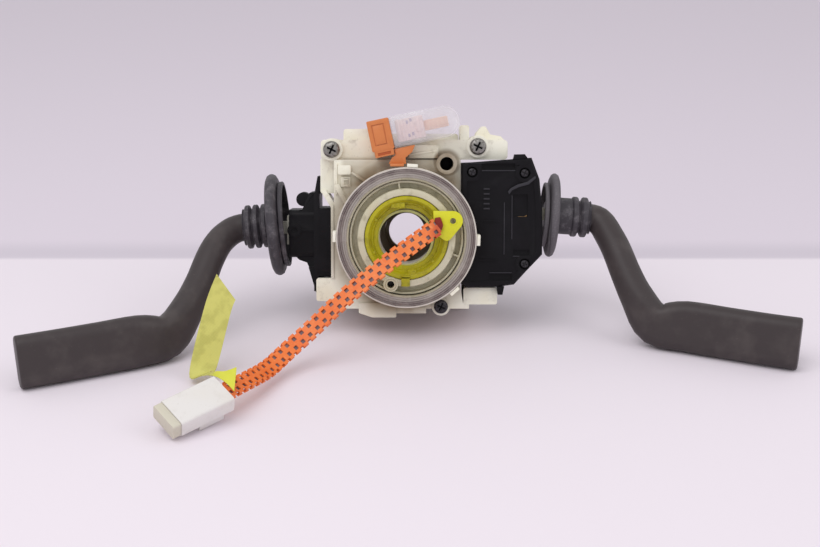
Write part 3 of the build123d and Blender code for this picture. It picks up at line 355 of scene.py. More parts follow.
def clear_ring(name, tone):
    """Clear cover with turned lines, darkest over the ribbon's turns and smoky towards its inside."""
    finish = Finish(name, ior=1.49, specular_ior_level=0.6)
    at = finish.place()
    x, y, z = finish.parts(at)
    radius = radial(x, z) + (finish.noise(at, 0.05) - 0.5) * 0.8
    lines = radius.waves(1.3) ** 8.0
    smear = finish.noise(at, 0.10, 4.0).above(0.40, 0.70)
    bands = finish.mix(radius.above(40.6, 41.8), linear(158, 149, 144), tone)
    bands = finish.mix(radius.above(43.9, 44.3), bands, linear(214, 206, 198))
    bands = finish.mix(1 - radius.above(38.0, 38.8), bands, linear(172, 164, 138))
    finish.put("base_color", finish.mix((lines * 0.45).most(smear * 0.25), bands, linear(196, 186, 178)))
    finish.put("roughness", smear * 0.2 + 0.2)
    finish.put("alpha", lines * 0.1 + smear * 0.08 + 0.82)
    finish.bump(lines, 0.25, 0.0002)
    return finish.material


def clear_plastic(name):
    """Clear plastic, cloudy along its edges."""
    finish = Finish(name, ior=1.49, roughness=0.1)
    at = finish.place()
    cloud = finish.noise(at, 0.06, 3.0).above(0.40, 0.75)
    finish.put("base_color", finish.mix(cloud, linear(238, 234, 240), linear(252, 250, 252)))
    rim = finish.node("LayerWeight", sockets={"Blend": 0.3}, out="Facing")
    finish.put("alpha", rim * 0.35 + cloud * 0.12 + 0.18)
    return finish.material


def ribbed(name, tone, mark, period):
    """A pale moulding with fine ribs."""
    finish = Finish(name, ior=1.47, roughness=0.35)
    at = finish.place()
    x, y, z = finish.parts(at)
    ribs = (x * 0.98 + z * 0.21).waves(period) ** 4.0
    spots = finish.noise(at, 0.35, 4.0).above(0.50, 0.70)
    finish.put("base_color", finish.mix((ribs * 0.35).most(spots * 0.4), tone, mark))
    finish.bump(ribs, 0.2, 0.0002)
    return finish.material


def woven(name, tone):
    """Thin woven film, creased, with painted shade along a fold and in its creases, and a brighter end."""
    finish = Finish(name, ior=1.45, specular_ior_level=0.3)
    at = finish.place()
    x, y, z = finish.parts(at)
    weave = (x + z * 0.4).waves(0.9) * (z - x * 0.4).waves(0.9)
    # Crease relief for the bump, which also darkens the colour as painted shade
    creases_and_shade = finish.noise(at, 0.14, 3.0).above(0.40, 0.65)
    # Painted shade: a dark line along the film's fold
    fold = 1 - (z - x * 0.22 - 4.0).size().above(0.15, 0.5)
    near = 1 - y.above(-98.0, -90.0)
    darker = finish.mix((creases_and_shade * 0.35).most(fold * 0.7), tone, linear(150, 146, 62))
    paler = finish.mix(weave * 0.25, darker, linear(226, 222, 150))
    finish.put("base_color", finish.mix(near * 0.8, paler, linear(222, 222, 62)))
    finish.put("roughness", weave * 0.2 + 0.45)
    finish.bump(weave + creases_and_shade * 2.0, 0.30, 0.0002)
    return finish.material


def sheath_plastic(name, tone):
    """Satin orange sheath, paler where it is worn, deeper towards its end and red at its root."""
    finish = Finish(name, ior=1.46, specular_ior_level=0.4)
    at = finish.place()
    tint = finish.noise(at, 0.09, 3.0).above(0.35, 0.70)
    x = finish.parts(at)[0]
    root = x.above(13.0, 20.0)
    lower = 1 - x.above(-60.0, -10.0)
    deep = finish.mix(tint * 0.5, tone, linear(226, 96, 40))
    deep = finish.mix(root * (tint * 0.3 + 0.6), deep, linear(168, 40, 22))
    deep = finish.mix(lower * 0.4, deep, linear(232, 108, 40))
    pale = finish.noise(at, 0.5, 3.0).above(0.55, 0.75)
    finish.put("base_color", finish.mix(pale * 0.35, deep, linear(248, 172, 116)))
    finish.put("roughness", pale * 0.2 + 0.38)
    finish.bump(finish.noise(at, 0.9, 2.0), 0.08)
    return finish.material


FINISHES = {}


def make_finishes():
    """Every finish that the pieces share, by its name. A slot's own finish has the slot's name."""
    tones, harness = settings("plastic"), settings("harness")
    recipes = {
        "white_nylon": (nylon, tones.nylon, tones.dirt_and_shade, 0.65, True),
        "rotor_nylon": (nylon, tones.rotor, linear(112, 104, 66), 0.9),
        "clean_nylon": (nylon, tones.nylon, tones.dirt_and_shade, 0.4),
        "clear_plastic": (clear_plastic,),
        "clear_ring": (clear_ring, tones.cover),
        "ribbon": (nylon, linear(206, 198, 192), tones.dirt_and_shade, 0.3),
        "yellow_plastic": (stained, tones.yellow, linear(112, 104, 10), 0.8),
        "pale_yellow": (stained, linear(196, 196, 128), linear(150, 146, 80), 0.5),
        "ear_plastic": (stained, tones.ear, linear(170, 160, 20), 0.35, 0.3),
        "natural_plastic": (nylon, linear(236, 230, 214), tones.dirt_and_shade, 0.2),
        "zinc_steel": (metal, linear(150, 147, 144), linear(92, 86, 80)),
        "dark_steel": (metal, linear(70, 68, 72), linear(44, 40, 40), 0.42),
        "contact_metal": (metal, linear(214, 186, 120), linear(150, 120, 70), 0.3),
        "orange_plastic": (stained, tones.orange, linear(176, 92, 36), 0.4),
        "dark_orange": (stained, linear(176, 82, 34), linear(120, 52, 22), 0.5),
        "pink_plastic": (ribbed, tones.pink, linear(206, 182, 190), 2.1),
        "key_plastic": (ribbed, linear(238, 200, 178), linear(222, 170, 150), 3.0),
        # Grey of the painted shade in the insert's slots
        "slot_grey": (stained, linear(176, 160, 184), linear(140, 124, 146), 0.5),
        "black_case": (dark_plastic, tones.case, linear(46, 43, 50), 1.6, 0.42, 0.5, 0.15),
        # Paler black for the lid's painted highlights
        "worn_black": (dark_plastic, linear(50, 48, 54), linear(84, 82, 88), 1.6, 0.4, 0.7, 0.25),
        # Tan of the painted glint behind the lid
        "board": (stained, linear(124, 92, 52), linear(88, 62, 34), 0.6, 0.5),
        "detent_plastic": (nylon, linear(208, 204, 192), tones.dirt_and_shade, 0.3),
        "stalk_plastic": (dark_plastic, tones.stalk, linear(104, 96, 94), 2.4, 0.40, 0.8),
        "boot_rubber": (rubber, tones.rubber, tones.dust),
        "orange_sheath": (sheath_plastic, harness.sheath),
        "root_plastic": (stained, linear(132, 28, 16), linear(84, 12, 10), 0.7, 0.25),
        "dark_cable": (rubber, linear(124, 108, 114), linear(176, 164, 170)),
        "cream_plastic": (nylon, harness.connector, linear(160, 148, 132), 0.3),
        "cap_plastic": (nylon, harness.cap, linear(160, 148, 122), 0.3),
        "tag_film": (woven, harness.tag),
    }
    FINISHES.update({name: recipe(name, *values) for name, (recipe, *values) in recipes.items()})


# ============================ modelling =======================================================
def select_nothing():
    if bpy.context.mode != "OBJECT":
        bpy.ops.object.mode_set(mode="OBJECT")
    bpy.ops.object.select_all(action="DESELECT")


def select_only(thing):
    select_nothing()
    thing.select_set(True)
    bpy.context.view_layer.objects.active = thing


def edit_all(thing):
    """Opens a piece in edit mode with all of it selected."""
    select_only(thing)
    bpy.ops.object.mode_set(mode="EDIT")
    bpy.ops.mesh.select_mode(type="VERT")
    bpy.ops.mesh.select_all(action="SELECT")


def aim(direction):
    return Vector(direction).to_track_quat("Z", "Y").to_euler()


def apply_modifier(thing, kind, **values):
    select_only(thing)
    modifier = thing.modifiers.new(kind.lower(), kind)
    for key, value in values.items():
        setattr(modifier, key, value)
    bpy.ops.object.modifier_apply(modifier=modifier.name)


def finish_piece(piece, slot, body, nodes=(), finish=None, smooth=35.0):
    """Gives a piece its material, its body and the nodes that it stands for."""
    select_only(piece)
    bpy.ops.object.shade_smooth_by_angle(angle=math.radians(smooth))
    piece.data.materials.clear()
    piece.data.materials.append(FINISHES[finish or slot])
    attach(piece, body)
    if nodes:
        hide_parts(*nodes)
    return piece


NEAR = 1e-3  # two places closer than this are the same, in millimetres


class Form:
    """A piece while it is modelled in edit mode, in millimetres."""

    def __init__(self, name):
        select_nothing()
        bpy.ops.mesh.primitive_plane_add(size=1)
        self.piece = bpy.context.object
        self.piece.name = name
        bpy.ops.object.mode_set(mode="EDIT")
        bpy.ops.mesh.select_mode(type="VERT")
        bpy.ops.mesh.delete(type="VERT")

    def clear(self):
        bpy.ops.mesh.select_mode(type="VERT")
        bpy.ops.mesh.select_all(action="DESELECT")

    def pick(self, test, kind="VERT"):
        """Selects the vertices or faces whose place, and for faces whose normal, passes the test."""
        self.clear()
        bpy.ops.mesh.select_mode(type=kind)
        mesh = bmesh.from_edit_mesh(self.piece.data)
        if kind == "FACE":
            for face in mesh.faces:
                face.select_set(test(face.calc_center_median(), face.normal))
        else:
            for vertex in mesh.verts:
                vertex.select_set(test(vertex.co))
        mesh.select_flush_mode()
        bmesh.update_edit_mesh(self.piece.data)

    def soften(self, width, steps=2):
        if width:
            bpy.ops.mesh.select_linked()
            bpy.ops.mesh.bevel(offset=width, segments=steps, affect="EDGES", clamp_overlap=True)

    def box(self, x, y, z, bevel=0.3, turn=(0, 0, 0), steps=2):
        """A box between three (low, high) pairs, turned about its frame's origin."""
        self.clear()
        spin = Euler(turn)
        middle = Vector([(low + high) / 2 for low, high in (x, y, z)])
        middle.rotate(spin)
        sides = [high - low for low, high in (x, y, z)]
        bpy.ops.mesh.primitive_cube_add(size=1, location=middle, rotation=spin, scale=sides)
        self.soften(bevel, steps)

    def rod(self, radius, start, end, bevel, sides):
        """A cylinder from point to point, with the edges of its ends rounded."""
        self.clear()
        start, end = Vector(start), Vector(end)
        bpy.ops.mesh.primitive_cylinder_add(vertices=sides, radius=radius, depth=(end - start).length,
                                            location=(start + end) / 2, rotation=aim(end - start))
        if bevel:
            axis = (end - start).normalized()

            def is_end(at, normal):
                return abs(normal.dot(axis)) > 0.99 and min((at - start).length, (at - end).length) < NEAR
            self.pick(is_end, "FACE")
            bpy.ops.mesh.bevel(offset=bevel, segments=2, affect="EDGES")

    def chain(self, points):
        """Draws a line of edges by extruding a point."""
        self.clear()
        points = [Vector(point) for point in points]
        bpy.ops.mesh.primitive_plane_add(size=0.1, location=points[0])
        bpy.ops.mesh.merge(type="CENTER")
        for here, there in zip(points, points[1:]):
            bpy.ops.mesh.extrude_region_move(TRANSFORM_OT_translate={"value": there - here})
        bpy.ops.mesh.select_linked()

    def turned(self, profile, at=(0, 0, 0), axis=Y, out=X, steps=96, closed=False):
        """Spins a profile of (radius, along) points about an axis."""
        at = Vector(at)
        points = [at + out * radius + axis * along for radius, along in profile]
        self.chain(points)
        if closed:
            bpy.ops.mesh.edge_face_add()
            bpy.ops.mesh.delete(type="ONLY_FACE")
            self.pick(lambda co: min((co - point).length for point in points) < 1e-4)
        bpy.ops.mesh.spin(steps=steps, angle=math.tau, center=at, axis=axis)

    def face(self, corners, rounding=0.0):
        """One flat face, with its corners rounded if asked."""
        self.chain(corners)
        bpy.ops.mesh.edge_face_add()
        if rounding:
            bpy.ops.mesh.bevel(offset=rounding, segments=6, affect="VERTICES")

    def plate(self, outline, y, bevel, rounding=0.0):
        """A flat plate with its outline in X and Z, from y[0] to y[1]."""
        self.face([(px, y[0], pz) for px, pz in outline], rounding)
        bpy.ops.mesh.extrude_region_move(TRANSFORM_OT_translate={"value": (0, y[1] - y[0], 0)})
        self.soften(bevel)

    def ring(self, centre, across, up, width, height, radius):
        """A rounded rectangle of edges."""
        signs = ((-1, -1), (1, -1), (1, 1), (-1, 1))
        corners = [centre + across * (u * width / 2) + up * (v * height / 2) for u, v in signs]
        self.face(corners, radius)
        bpy.ops.mesh.delete(type="ONLY_FACE")

    def loft(self, sections, cap=1.5):
        """Rounded rectangles joined one to the next, closed and rounded at both ends."""
        for section in sections:
            self.ring(*section)
        bpy.ops.mesh.select_all(action="SELECT")
        bpy.ops.mesh.bridge_edge_loops()
        for centre, across, up, width, height, _ in (sections[0], sections[-1]):
            along = across.cross(up).normalized()
            reach = max(width, height)
            self.pick(lambda co: abs((co - centre).dot(along)) < 2 * NEAR and (co - centre).length < reach)
            bpy.ops.mesh.edge_face_add()
            bpy.ops.mesh.select_mode(type="FACE")
            bpy.ops.mesh.bevel(offset=cap, segments=4, affect="EDGES")

    def cut(self, cutter):
        """Takes another form away from this one."""
        tool = cutter.close()
        self.close()
        apply_modifier(self.piece, "BOOLEAN", operation="DIFFERENCE", object=tool, solver="EXACT",
                       use_self=True)
        bpy.data.objects.remove(tool)
        bpy.ops.object.mode_set(mode="EDIT")

    def close(self):
        """Merges doubles, turns all faces outwards and leaves edit mode."""
        edit_all(self.piece)
        bpy.ops.mesh.remove_doubles(threshold=1e-4)
        bpy.ops.mesh.normals_make_consistent(inside=False)
        bpy.ops.object.mode_set(mode="OBJECT")
        return self.piece

    def done(self, slot, body, nodes=(), finish=None, frame_of=UNIT, smooth=35.0):
        """Puts the piece in its place and gives it its finish and its body."""
        piece = self.close()
        piece.data.transform(frame_of)
        return finish_piece(piece, slot, body, nodes, finish, smooth)


def softened(name, node, width, slot, body, finish=None, steps=2):
    """A copy of a node's mesh with its edges rounded, in the node's place."""
    piece = bpy.data.objects.new(name, frame["nodes"][node].data.copy())
    bpy.context.scene.collection.objects.link(piece)
    select_only(piece)
    if piece.data.has_custom_normals:
        bpy.ops.mesh.customdata_custom_splitnormals_clear()
    edit_all(piece)
    bpy.ops.mesh.remove_doubles(threshold=2e-6)
    bpy.ops.mesh.dissolve_limited(angle_limit=math.radians(0.6))
    bpy.ops.object.mode_set(mode="OBJECT")
    apply_modifier(piece, "BEVEL", width=width * MM, segments=steps, limit_method="ANGLE",
                   angle_limit=math.radians(28), miter_outer="MITER_SHARP", use_clamp_overlap=True)
    return finish_piece(piece, slot, body, [node], finish)


def flowing(stations, steps):
    """Fills in stations, which are lists of numbers, along smooth curves."""
    filled = []
    last = len(stations) - 1
    for index in range(last):
        around = [stations[min(max(index + offset, 0), last)] for offset in (-1, 0, 1, 2)]
        for step in range(steps):
            t = step / steps
            filled.append([b + 0.5 * t * (c - a + t * (2 * a - 5 * b + 4 * c - d + t * (3 * (b - c) + d - a)))
                           for a, b, c, d in zip(*around)])
    filled.append(list(stations[last]))
    return filled


# ============================ stage ===========================================================
class Maker:
    """What the operators share."""
    bl_options = {"REGISTER", "UNDO"}

    def execute(self, context):
        self.make()
        return {"FINISHED"}


CAMERA_AT = (-0.002406, -0.84792, 0.371)
CAMERA_TILT, CAMERA_LENS, CAMERA_SENSOR = 69.0, 61.46, 36.0
ROOM_LIGHT = 0.72
LAMP_AIM = Vector((0, 0, 0.05))
LAMPS = (("large_lamp", (-0.45, -0.55, 1.25), 1.1, 1.0),  # place, size and share of the setting's power
         ("side_lamp", (1.1, -0.5, 0.9), 0.8, 0.35))
FLOOR_SIZE, FLOOR_MIDDLE = 9.0, (0, 2.0, 0)
# Blur of the table's edge, and the distance and width of the painted shade along the fold behind it
FOLD_BLUR, FOLD_SHADE_BACK, FOLD_SHADE_WIDE = 0.004, 0.012, 0.035


class MakeStage(Maker, bpy.types.Operator):
    """Adds the camera, the floor and plain soft light"""
    bl_idname = "mesh.stalk_switch_stage"
    bl_label = "Stage and camera"

    def make(self):
        stage = settings("stage")
        scene = bpy.context.scene
        scene.view_settings.view_transform = "Standard"
        bpy.ops.object.camera_add(location=CAMERA_AT, rotation=(math.radians(CAMERA_TILT), 0, 0))
        camera = bpy.context.object
        camera.name = "camera"
        camera.data.lens = CAMERA_LENS
        camera.data.sensor_width = CAMERA_SENSOR
        scene.camera = camera

        select_nothing()
        bpy.ops.mesh.primitive_plane_add(size=FLOOR_SIZE, location=FLOOR_MIDDLE)
        floor = bpy.context.object
        floor.name = "table"
        bpy.ops.object.transform_apply(location=True)
        finish = Finish("table", specular_ior_level=0.25)
        at = finish.node("TexCoord", out="Object")
        y = finish.parts(at)[1]
        beyond = y.above(stage.fold - FOLD_BLUR, stage.fold + FOLD_BLUR)
        # Painted shade: a darker band just behind the table's edge, where the backdrop folds up
        fold_shade = 1 - (y - (stage.fold + FOLD_SHADE_BACK)).size().above(0.0, FOLD_SHADE_WIDE)
        cloth = finish.noise(at, 6.0, 3.0)
        table = finish.mix(cloth * 0.25, stage.table, linear(228, 218, 229))
        back = finish.mix(fold_shade * 0.5, stage.backdrop, linear(196, 188, 200))
        finish.put("base_color", finish.mix(beyond, table, back))
        finish.put("roughness", cloth * 0.1 + 0.7)
        floor.data.materials.append(finish.material)

        world = bpy.data.worlds.new("soft_room")
        world.use_nodes = True
        background = world.node_tree.nodes["Background"]
        background.inputs["Color"].default_value = (1.0, 1.0, 1.0, 1.0)
        background.inputs["Strength"].default_value = ROOM_LIGHT
        scene.world = world
        for name, spot, size, share in LAMPS:
            bpy.ops.object.light_add(type="AREA", location=spot, rotation=aim(Vector(spot) - LAMP_AIM))
            lamp = bpy.context.object
            lamp.name = name
            lamp.data.size = size
            lamp.data.energy = stage.lamp * share


# ============================ harness =========================================================
SHEATH_ROUTE = [(19.4, -25.2, 81.0), (4.5, -35.5, 73.4), (-15.0, -45.5, 61.5), (-38.0, -52.0, 44.2),
                (-59.7, -58.2, 24.0), (-73.8, -68.5, 14.5), (-84.5, -86.5, 9.8), (-93.6, -110.0, 14.2),
                (-105.7, -130.4, 15.4)]
SHEATH_TURN = (-58.0, -24.0)  # degrees that the sheath's face leans forwards, at its start and its end
TAG_STRIP = [((-99.2, -134.0, 18.2), (-99.3, -118.5, 26.2)), ((-105.0, -126.5, 20.2), (-106.0, -117.0, 23.0)),
             ((-112.0, -116.0, 19.0), (-112.0, -112.0, 20.6)),
             ((-119.0, -103.5, 14.0), (-117.5, -101.0, 14.6)), ((-124.0, -95.0, 9.8), (-118.5, -91.0, 11.0)),
             ((-133.5, -82.0, 5.2), (-116.5, -79.5, 9.0)), ((-124.5, -65.5, 42.5), (-108.5, -66.5, 38.5)),
             ((-117.0, -58.0, 61.5), (-105.5, -62.5, 46.0))]
TAG_THICK, TAG_STEPS, TAG_PARTS = 0.5, 6, 8
SKIN = 0.8                            # sheath: its plates' thickness,
HOLE, HOLE_ROW = 1.3, 2.45            # half a hole, and its row's distance from the middle,
TOOTH, NOTCH = 2.0, 1.5               # half a tooth at its edges, and how deep the notches are,
SPINE, EDGE_RIB = 0.5, 1.2            # half its middle rib, and the ribs that join its plates' edges
WIRES_WIDE, WIRES_THICK = 6.8, 0.7


class MakeHarness(Maker, bpy.types.Operator):
    """Models the perforated sheath, its wires, the connector and the tag"""
    bl_idname = "mesh.stalk_switch_harness"
    bl_label = "Harness"

    def route(self):
        """The sheath's centre line as a NURBS curve."""
        curve = bpy.data.curves.new("route", "CURVE")
        curve.dimensions = "3D"
        curve.twist_mode = "Z_UP"
        curve.resolution_u = 16
        spline = curve.splines.new("NURBS")
        spline.points.add(len(SHEATH_ROUTE) - 1)
        first, last = SHEATH_TURN
        for index, (knot, point) in enumerate(zip(spline.points, SHEATH_ROUTE)):
            knot.co = [*(TABLE @ Vector(point)), 1.0]
            knot.tilt = math.radians(first + (last - first) * index / (len(SHEATH_ROUTE) - 1))
        spline.order_u = 3
        spline.use_endpoint_u = True
        thing = bpy.data.objects.new("route", curve)
        bpy.context.scene.collection.objects.link(thing)
        return thing

    def laid(self, form, pitch, count, route):
        """Repeats a cell along the route, with no walls left between the cells."""
        def is_end(at, normal):
            return abs(normal.x) > 0.99 and min(abs(at.x), abs(at.x - pitch / MM)) < NEAR
        form.pick(is_end, "FACE")
        bpy.ops.mesh.delete(type="FACE")
        piece = form.close()
        piece.data.transform(Matrix.Scale(MM, 4))
        apply_modifier(piece, "ARRAY", count=count, use_relative_offset=False, use_constant_offset=True,
                       constant_offset_displace=(pitch, 0, 0), use_merge_vertices=True, merge_threshold=1e-6)
        edit_all(piece)
        bpy.ops.mesh.fill_holes(sides=0)
        bpy.ops.object.mode_set(mode="OBJECT")
        apply_modifier(piece, "CURVE", object=route, deform_axis="POS_X")
        return piece

    def cell(self, sizes, pitch):
        """One pitch of the sheath: two pierced and notched plates, joined by ribs."""
        half, deep = sizes.width / MM / 2, sizes.thickness / MM / 2
        middle = pitch / 2
        form = Form("sheath")
        cuts = [(x, X) for reach in (HOLE, TOOTH)
                for x in (reach, middle - reach, middle + reach, pitch - reach)]
        cuts += [(y, Y) for y in (NOTCH - half, -HOLE_ROW - HOLE, HOLE - HOLE_ROW,
                                  HOLE_ROW - HOLE, HOLE_ROW + HOLE, half - NOTCH)]
        for level in (SKIN / 2 - deep, deep - SKIN / 2):
            form.face([(0, -half, level), (pitch, -half, level), (pitch, half, level), (0, half, level)])
            for offset, across in cuts:
                bpy.ops.mesh.select_linked()
                bpy.ops.mesh.bisect(plane_co=across * offset, plane_no=across)

        def is_open(at, normal):
            from_hole = abs(at.x - middle) if at.y > 0 else min(at.x, pitch - at.x)
            pierced = abs(abs(at.y) - HOLE_ROW) < HOLE and from_hole < HOLE
            return pierced or (abs(at.y) > half - NOTCH and from_hole > TOOTH)
        form.pick(is_open, "FACE")
        bpy.ops.mesh.delete(type="FACE")
        form.close()
        apply_modifier(form.piece, "SOLIDIFY", thickness=SKIN, offset=0.0)
        bpy.ops.object.mode_set(mode="EDIT")
        for level in (-deep, deep - SPINE):
            form.box((0, pitch), (-SPINE, SPINE), (level, level + SPINE), 0)
        inside = (0.1 - deep, deep - 0.1)
        form.box((middle - EDGE_RIB, middle + EDGE_RIB), (half - EDGE_RIB, half - 0.1), inside, 0.2, steps=1)
        for x in ((0, EDGE_RIB), (pitch - EDGE_RIB, pitch)):
            form.box(x, (0.1 - half, EDGE_RIB - half), inside, 0)
        return form

    def make(self):
        sizes = settings("harness")
        route = self.route()
        line = bpy.data.meshes.new_from_object(route)
        points = [vertex.co.copy() for vertex in line.vertices]
        span = sum((b - a).length for a, b in zip(points, points[1:]))
        count = round(span / sizes.pitch)
        pitch = span / count
        strip = self.laid(self.cell(sizes, pitch / MM), pitch, count, route)
        finish_piece(strip, "orange_sheath", "rotor", ["harness_sheath"])

        form = Form("inner_wires")
        wide, thick = WIRES_WIDE / 2, WIRES_THICK / 2
        form.box((0, pitch / MM), (-wide, wide), (-thick, thick), 0)
        wires = self.laid(form, pitch, count, route)
        finish_piece(wires, "orange_sheath", "rotor", finish="dark_cable")
        bpy.data.objects.remove(route)

        body = softened("connector_body", "airbag_connector", 1.6, "cream_plastic", "rotor", steps=4)
        cap = softened("connector_end", "connector_cap", 0.5, "cream_plastic", "rotor", "cap_plastic")
        tag = self.tag()
        self.root()

    def root(self):
        """The red sleeve that holds the sheath's end on the ear."""
        form = Form("sheath_root")
        outline = [(17.4, 3.4), (22.0, 4.4), (23.4, 8.4), (21.6, 13.6), (17.8, 13.0)]
        form.plate(outline, (-26.6, -24.5), 0.5, rounding=0.8)
        form.done("orange_sheath", "rotor", finish="root_plastic")

    def tag(self):
        """The woven strip, gathered to a narrow neck between its wide ends."""
        form = Form("tag")
        stations = [[*left, *right] for left, right in TAG_STRIP]
        for station in flowing(stations, TAG_STEPS):
            left, right = Vector(station[:3]), Vector(station[3:])
            form.chain([left.lerp(right, part / TAG_PARTS) for part in range(TAG_PARTS + 1)])
        bpy.ops.mesh.select_all(action="SELECT")
        bpy.ops.mesh.bridge_edge_loops()
        form.close()
        apply_modifier(form.piece, "SOLIDIFY", thickness=TAG_THICK, offset=0.0)
        return form.done("tag_film", "rotor", ["harness_tag"], frame_of=TABLE, smooth=60)


# ============================ levers ==========================================================
# Stations along each lever: place, height and thickness, and for the grips only X and Y
LEFT_STALK = [(-86, 25, 5.95, 18.4, 18.4), (-98, 25, 4.9, 18.4, 18.4), (-111, 25, 3.76, 18.4, 18.4),
              (-118.5, 21.6, 0.6, 18.4, 18.4), (-125, 14, -6, 18.6, 18.6), (-130, 5, -16.5, 19, 19),
              (-134.7, -6, -31, 20, 19), (-141, -19, -46, 22.5, 19)]
RIGHT_STALK = [(92, 25, 12.56, 18.4, 18.4), (106, 25, 11.6, 18.4, 18.4), (124.5, 25, 10.26, 18.4, 18.4),
               (130.5, 22.3, 6.6, 18.4, 18.4), (134.5, 16.5, -0.5, 18.6, 18.6), (138.8, 9.5, -10, 19, 19),
               (144.5, 1, -26, 20, 19), (151, -6.5, -41, 22.5, 19)]
LEFT_GRIP = [(-151, -32), (-168, -43), (-190, -53.5), (-214, -64.5), (-236, -74)]
RIGHT_GRIP = [(161, -13), (180, -20.5), (205, -31), (228, -40.5), (246, -47)]
GRIP_HIGH, GRIP_THICK = 33.0, 15.0
ENTRY_HIGH, ENTRY_THICK, ENTRY_RISE = 28.05, 17.0, 1.5  # where the neck flows into the grip
FLAT = 0.45                                             # half the flat left between a lever's roundings
CLEAR = 0.3                                             # a grip's distance from the table


def resting_height(y, high, thick):
    """Height at which a grip's rounded lower edge lies on the table."""
    edge = thick / 2 - 0.4
    drop = (high / 2 - edge) * math.cos(LEAN) + edge + CLEAR
    return (drop - CENTRE.z / MM + y * math.sin(LEAN)) / math.cos(LEAN)


class MakeStalks(Maker, bpy.types.Operator):
    """Models the two levers with their broad grips"""
    bl_idname = "mesh.stalk_switch_stalks"
    bl_label = "Stalks"

    def make(self):
        for side, tube, grip in (("left", LEFT_STALK, LEFT_GRIP), ("right", RIGHT_STALK, RIGHT_GRIP)):
            (x, y), *rest = grip
            height = resting_height(y, ENTRY_HIGH, ENTRY_THICK) + ENTRY_RISE
            stations = [*tube, (x, y, height, ENTRY_HIGH, ENTRY_THICK)]
            stations += [(x, y, resting_height(y, GRIP_HIGH, GRIP_THICK), GRIP_HIGH, GRIP_THICK)
                         for x, y in rest]
            stations = flowing(stations, 4)
            places = [Vector(station[:3]) for station in stations]
            sections = []
            for index, (*_, high, thick) in enumerate(stations):
                along = (places[min(index + 1, len(places) - 1)] - places[max(index - 1, 0)]).normalized()
                across = along.cross(Z).normalized()
                rounding = min(high, thick) / 2 - FLAT
                sections.append((places[index], across, across.cross(along), thick, high, rounding))
            form = Form(side + "_lever")
            form.loft(sections)
            form.done("stalk_plastic", side + "_lever", [side + "_stalk"], smooth=50)


BOOT_HOLE, BOOT_WALL = 9.6, 2.4
# Each boot: its side, place and direction, its tilt in degrees, its lip's and its disc's ends and radius,
# its sleeve's end and radius, and its ribs' number and pitch
BOOTS = (("left", (-74, 25, 7.0), -1, 5.0, (6.4, 10.0, 28.5), (10.0, 17.5, 34.0), (19.0, 13.4), (3, 5.4)),
         ("right", (80, 25, 13.4), 1, 4.0, (10.8, 14.4, 21.6), (14.2, 20.2, 28.0), (30.0, 12.2), (2, 6.4)))
# A rib's outline: its height over the sleeve, and its place along the pitch
RIB_PROFILE = ((0.7, 0.06), (1.2, 0.16), (1.2, 0.52), (0.7, 0.64), (-1.4, 0.78), (-1.6, 0.88))


class MakeBoots(Maker, bpy.types.Operator):
    """Models the rubber boots where the levers leave their cases"""
    bl_idname = "mesh.stalk_switch_boots"
    bl_label = "Boots"

    def make(self):
        hole, wall = BOOT_HOLE, BOOT_WALL
        for side, start, outward, tilt, lip, disc, sleeve, ribs in BOOTS:
            lip_x0, lip_x1, lip_r = lip
            disc_x0, disc_x1, disc_r = disc
            sleeve_x1, sleeve_r = sleeve
            middle, half = (disc_x0 + disc_x1) / 2, (disc_x1 - disc_x0) / 2
            outer = [(lip_r - wall, lip_x0), (lip_r - 0.5, lip_x0), (lip_r, lip_x0 + 0.5),
                     (lip_r - 0.3, lip_x1 - 0.8), (lip_r - 1.4, lip_x1 - 0.1), (disc_r - 6.0, disc_x0 + 0.3),
                     (disc_r - 3.2, disc_x0), (disc_r - 1.0, disc_x0 + half * 0.3),
                     (disc_r - 0.1, middle - half * 0.25), (disc_r, middle),
                     (disc_r - 0.1, middle + half * 0.25), (disc_r - 1.0, disc_x1 - half * 0.3),
                     (disc_r - 3.2, disc_x1), (disc_r - 5.6, disc_x1 - 0.1), (disc_r - 6.2, disc_x1 - 0.7),
                     (disc_r - 8.2, disc_x1 - 0.8), (disc_r - 8.8, disc_x1 - 0.2), (sleeve_r + 6.0, disc_x1),
                     (sleeve_r + 2.2, disc_x1 - half * 0.4), (sleeve_r + 0.4, disc_x1 - half * 0.1),
                     (sleeve_r, disc_x1 + 0.8), (sleeve_r, sleeve_x1)]
            count, pitch = ribs
            for rib in range(count):
                x = sleeve_x1 + rib * pitch
                outer += [(sleeve_r + rise, x + pitch * share) for rise, share in RIB_PROFILE]
            end = sleeve_x1 + count * pitch
            outer += [(sleeve_r - 1.0, end - 0.3), (sleeve_r - 1.4, end), (hole, end)]
            inner = [(hole, disc_x1 + 1.0), (lip_r - wall - 6.0, disc_x1 - half), (lip_r - wall, disc_x0)]
            turn = math.radians(tilt)
            axis = Vector((outward * math.cos(turn), 0, -math.sin(turn)))
            form = Form(side + "_rubber_boot")
            form.turned(outer + inner, start, axis, Y, closed=True)
            form.done("boot_rubber", side + "_lever", [side + "_boot"])


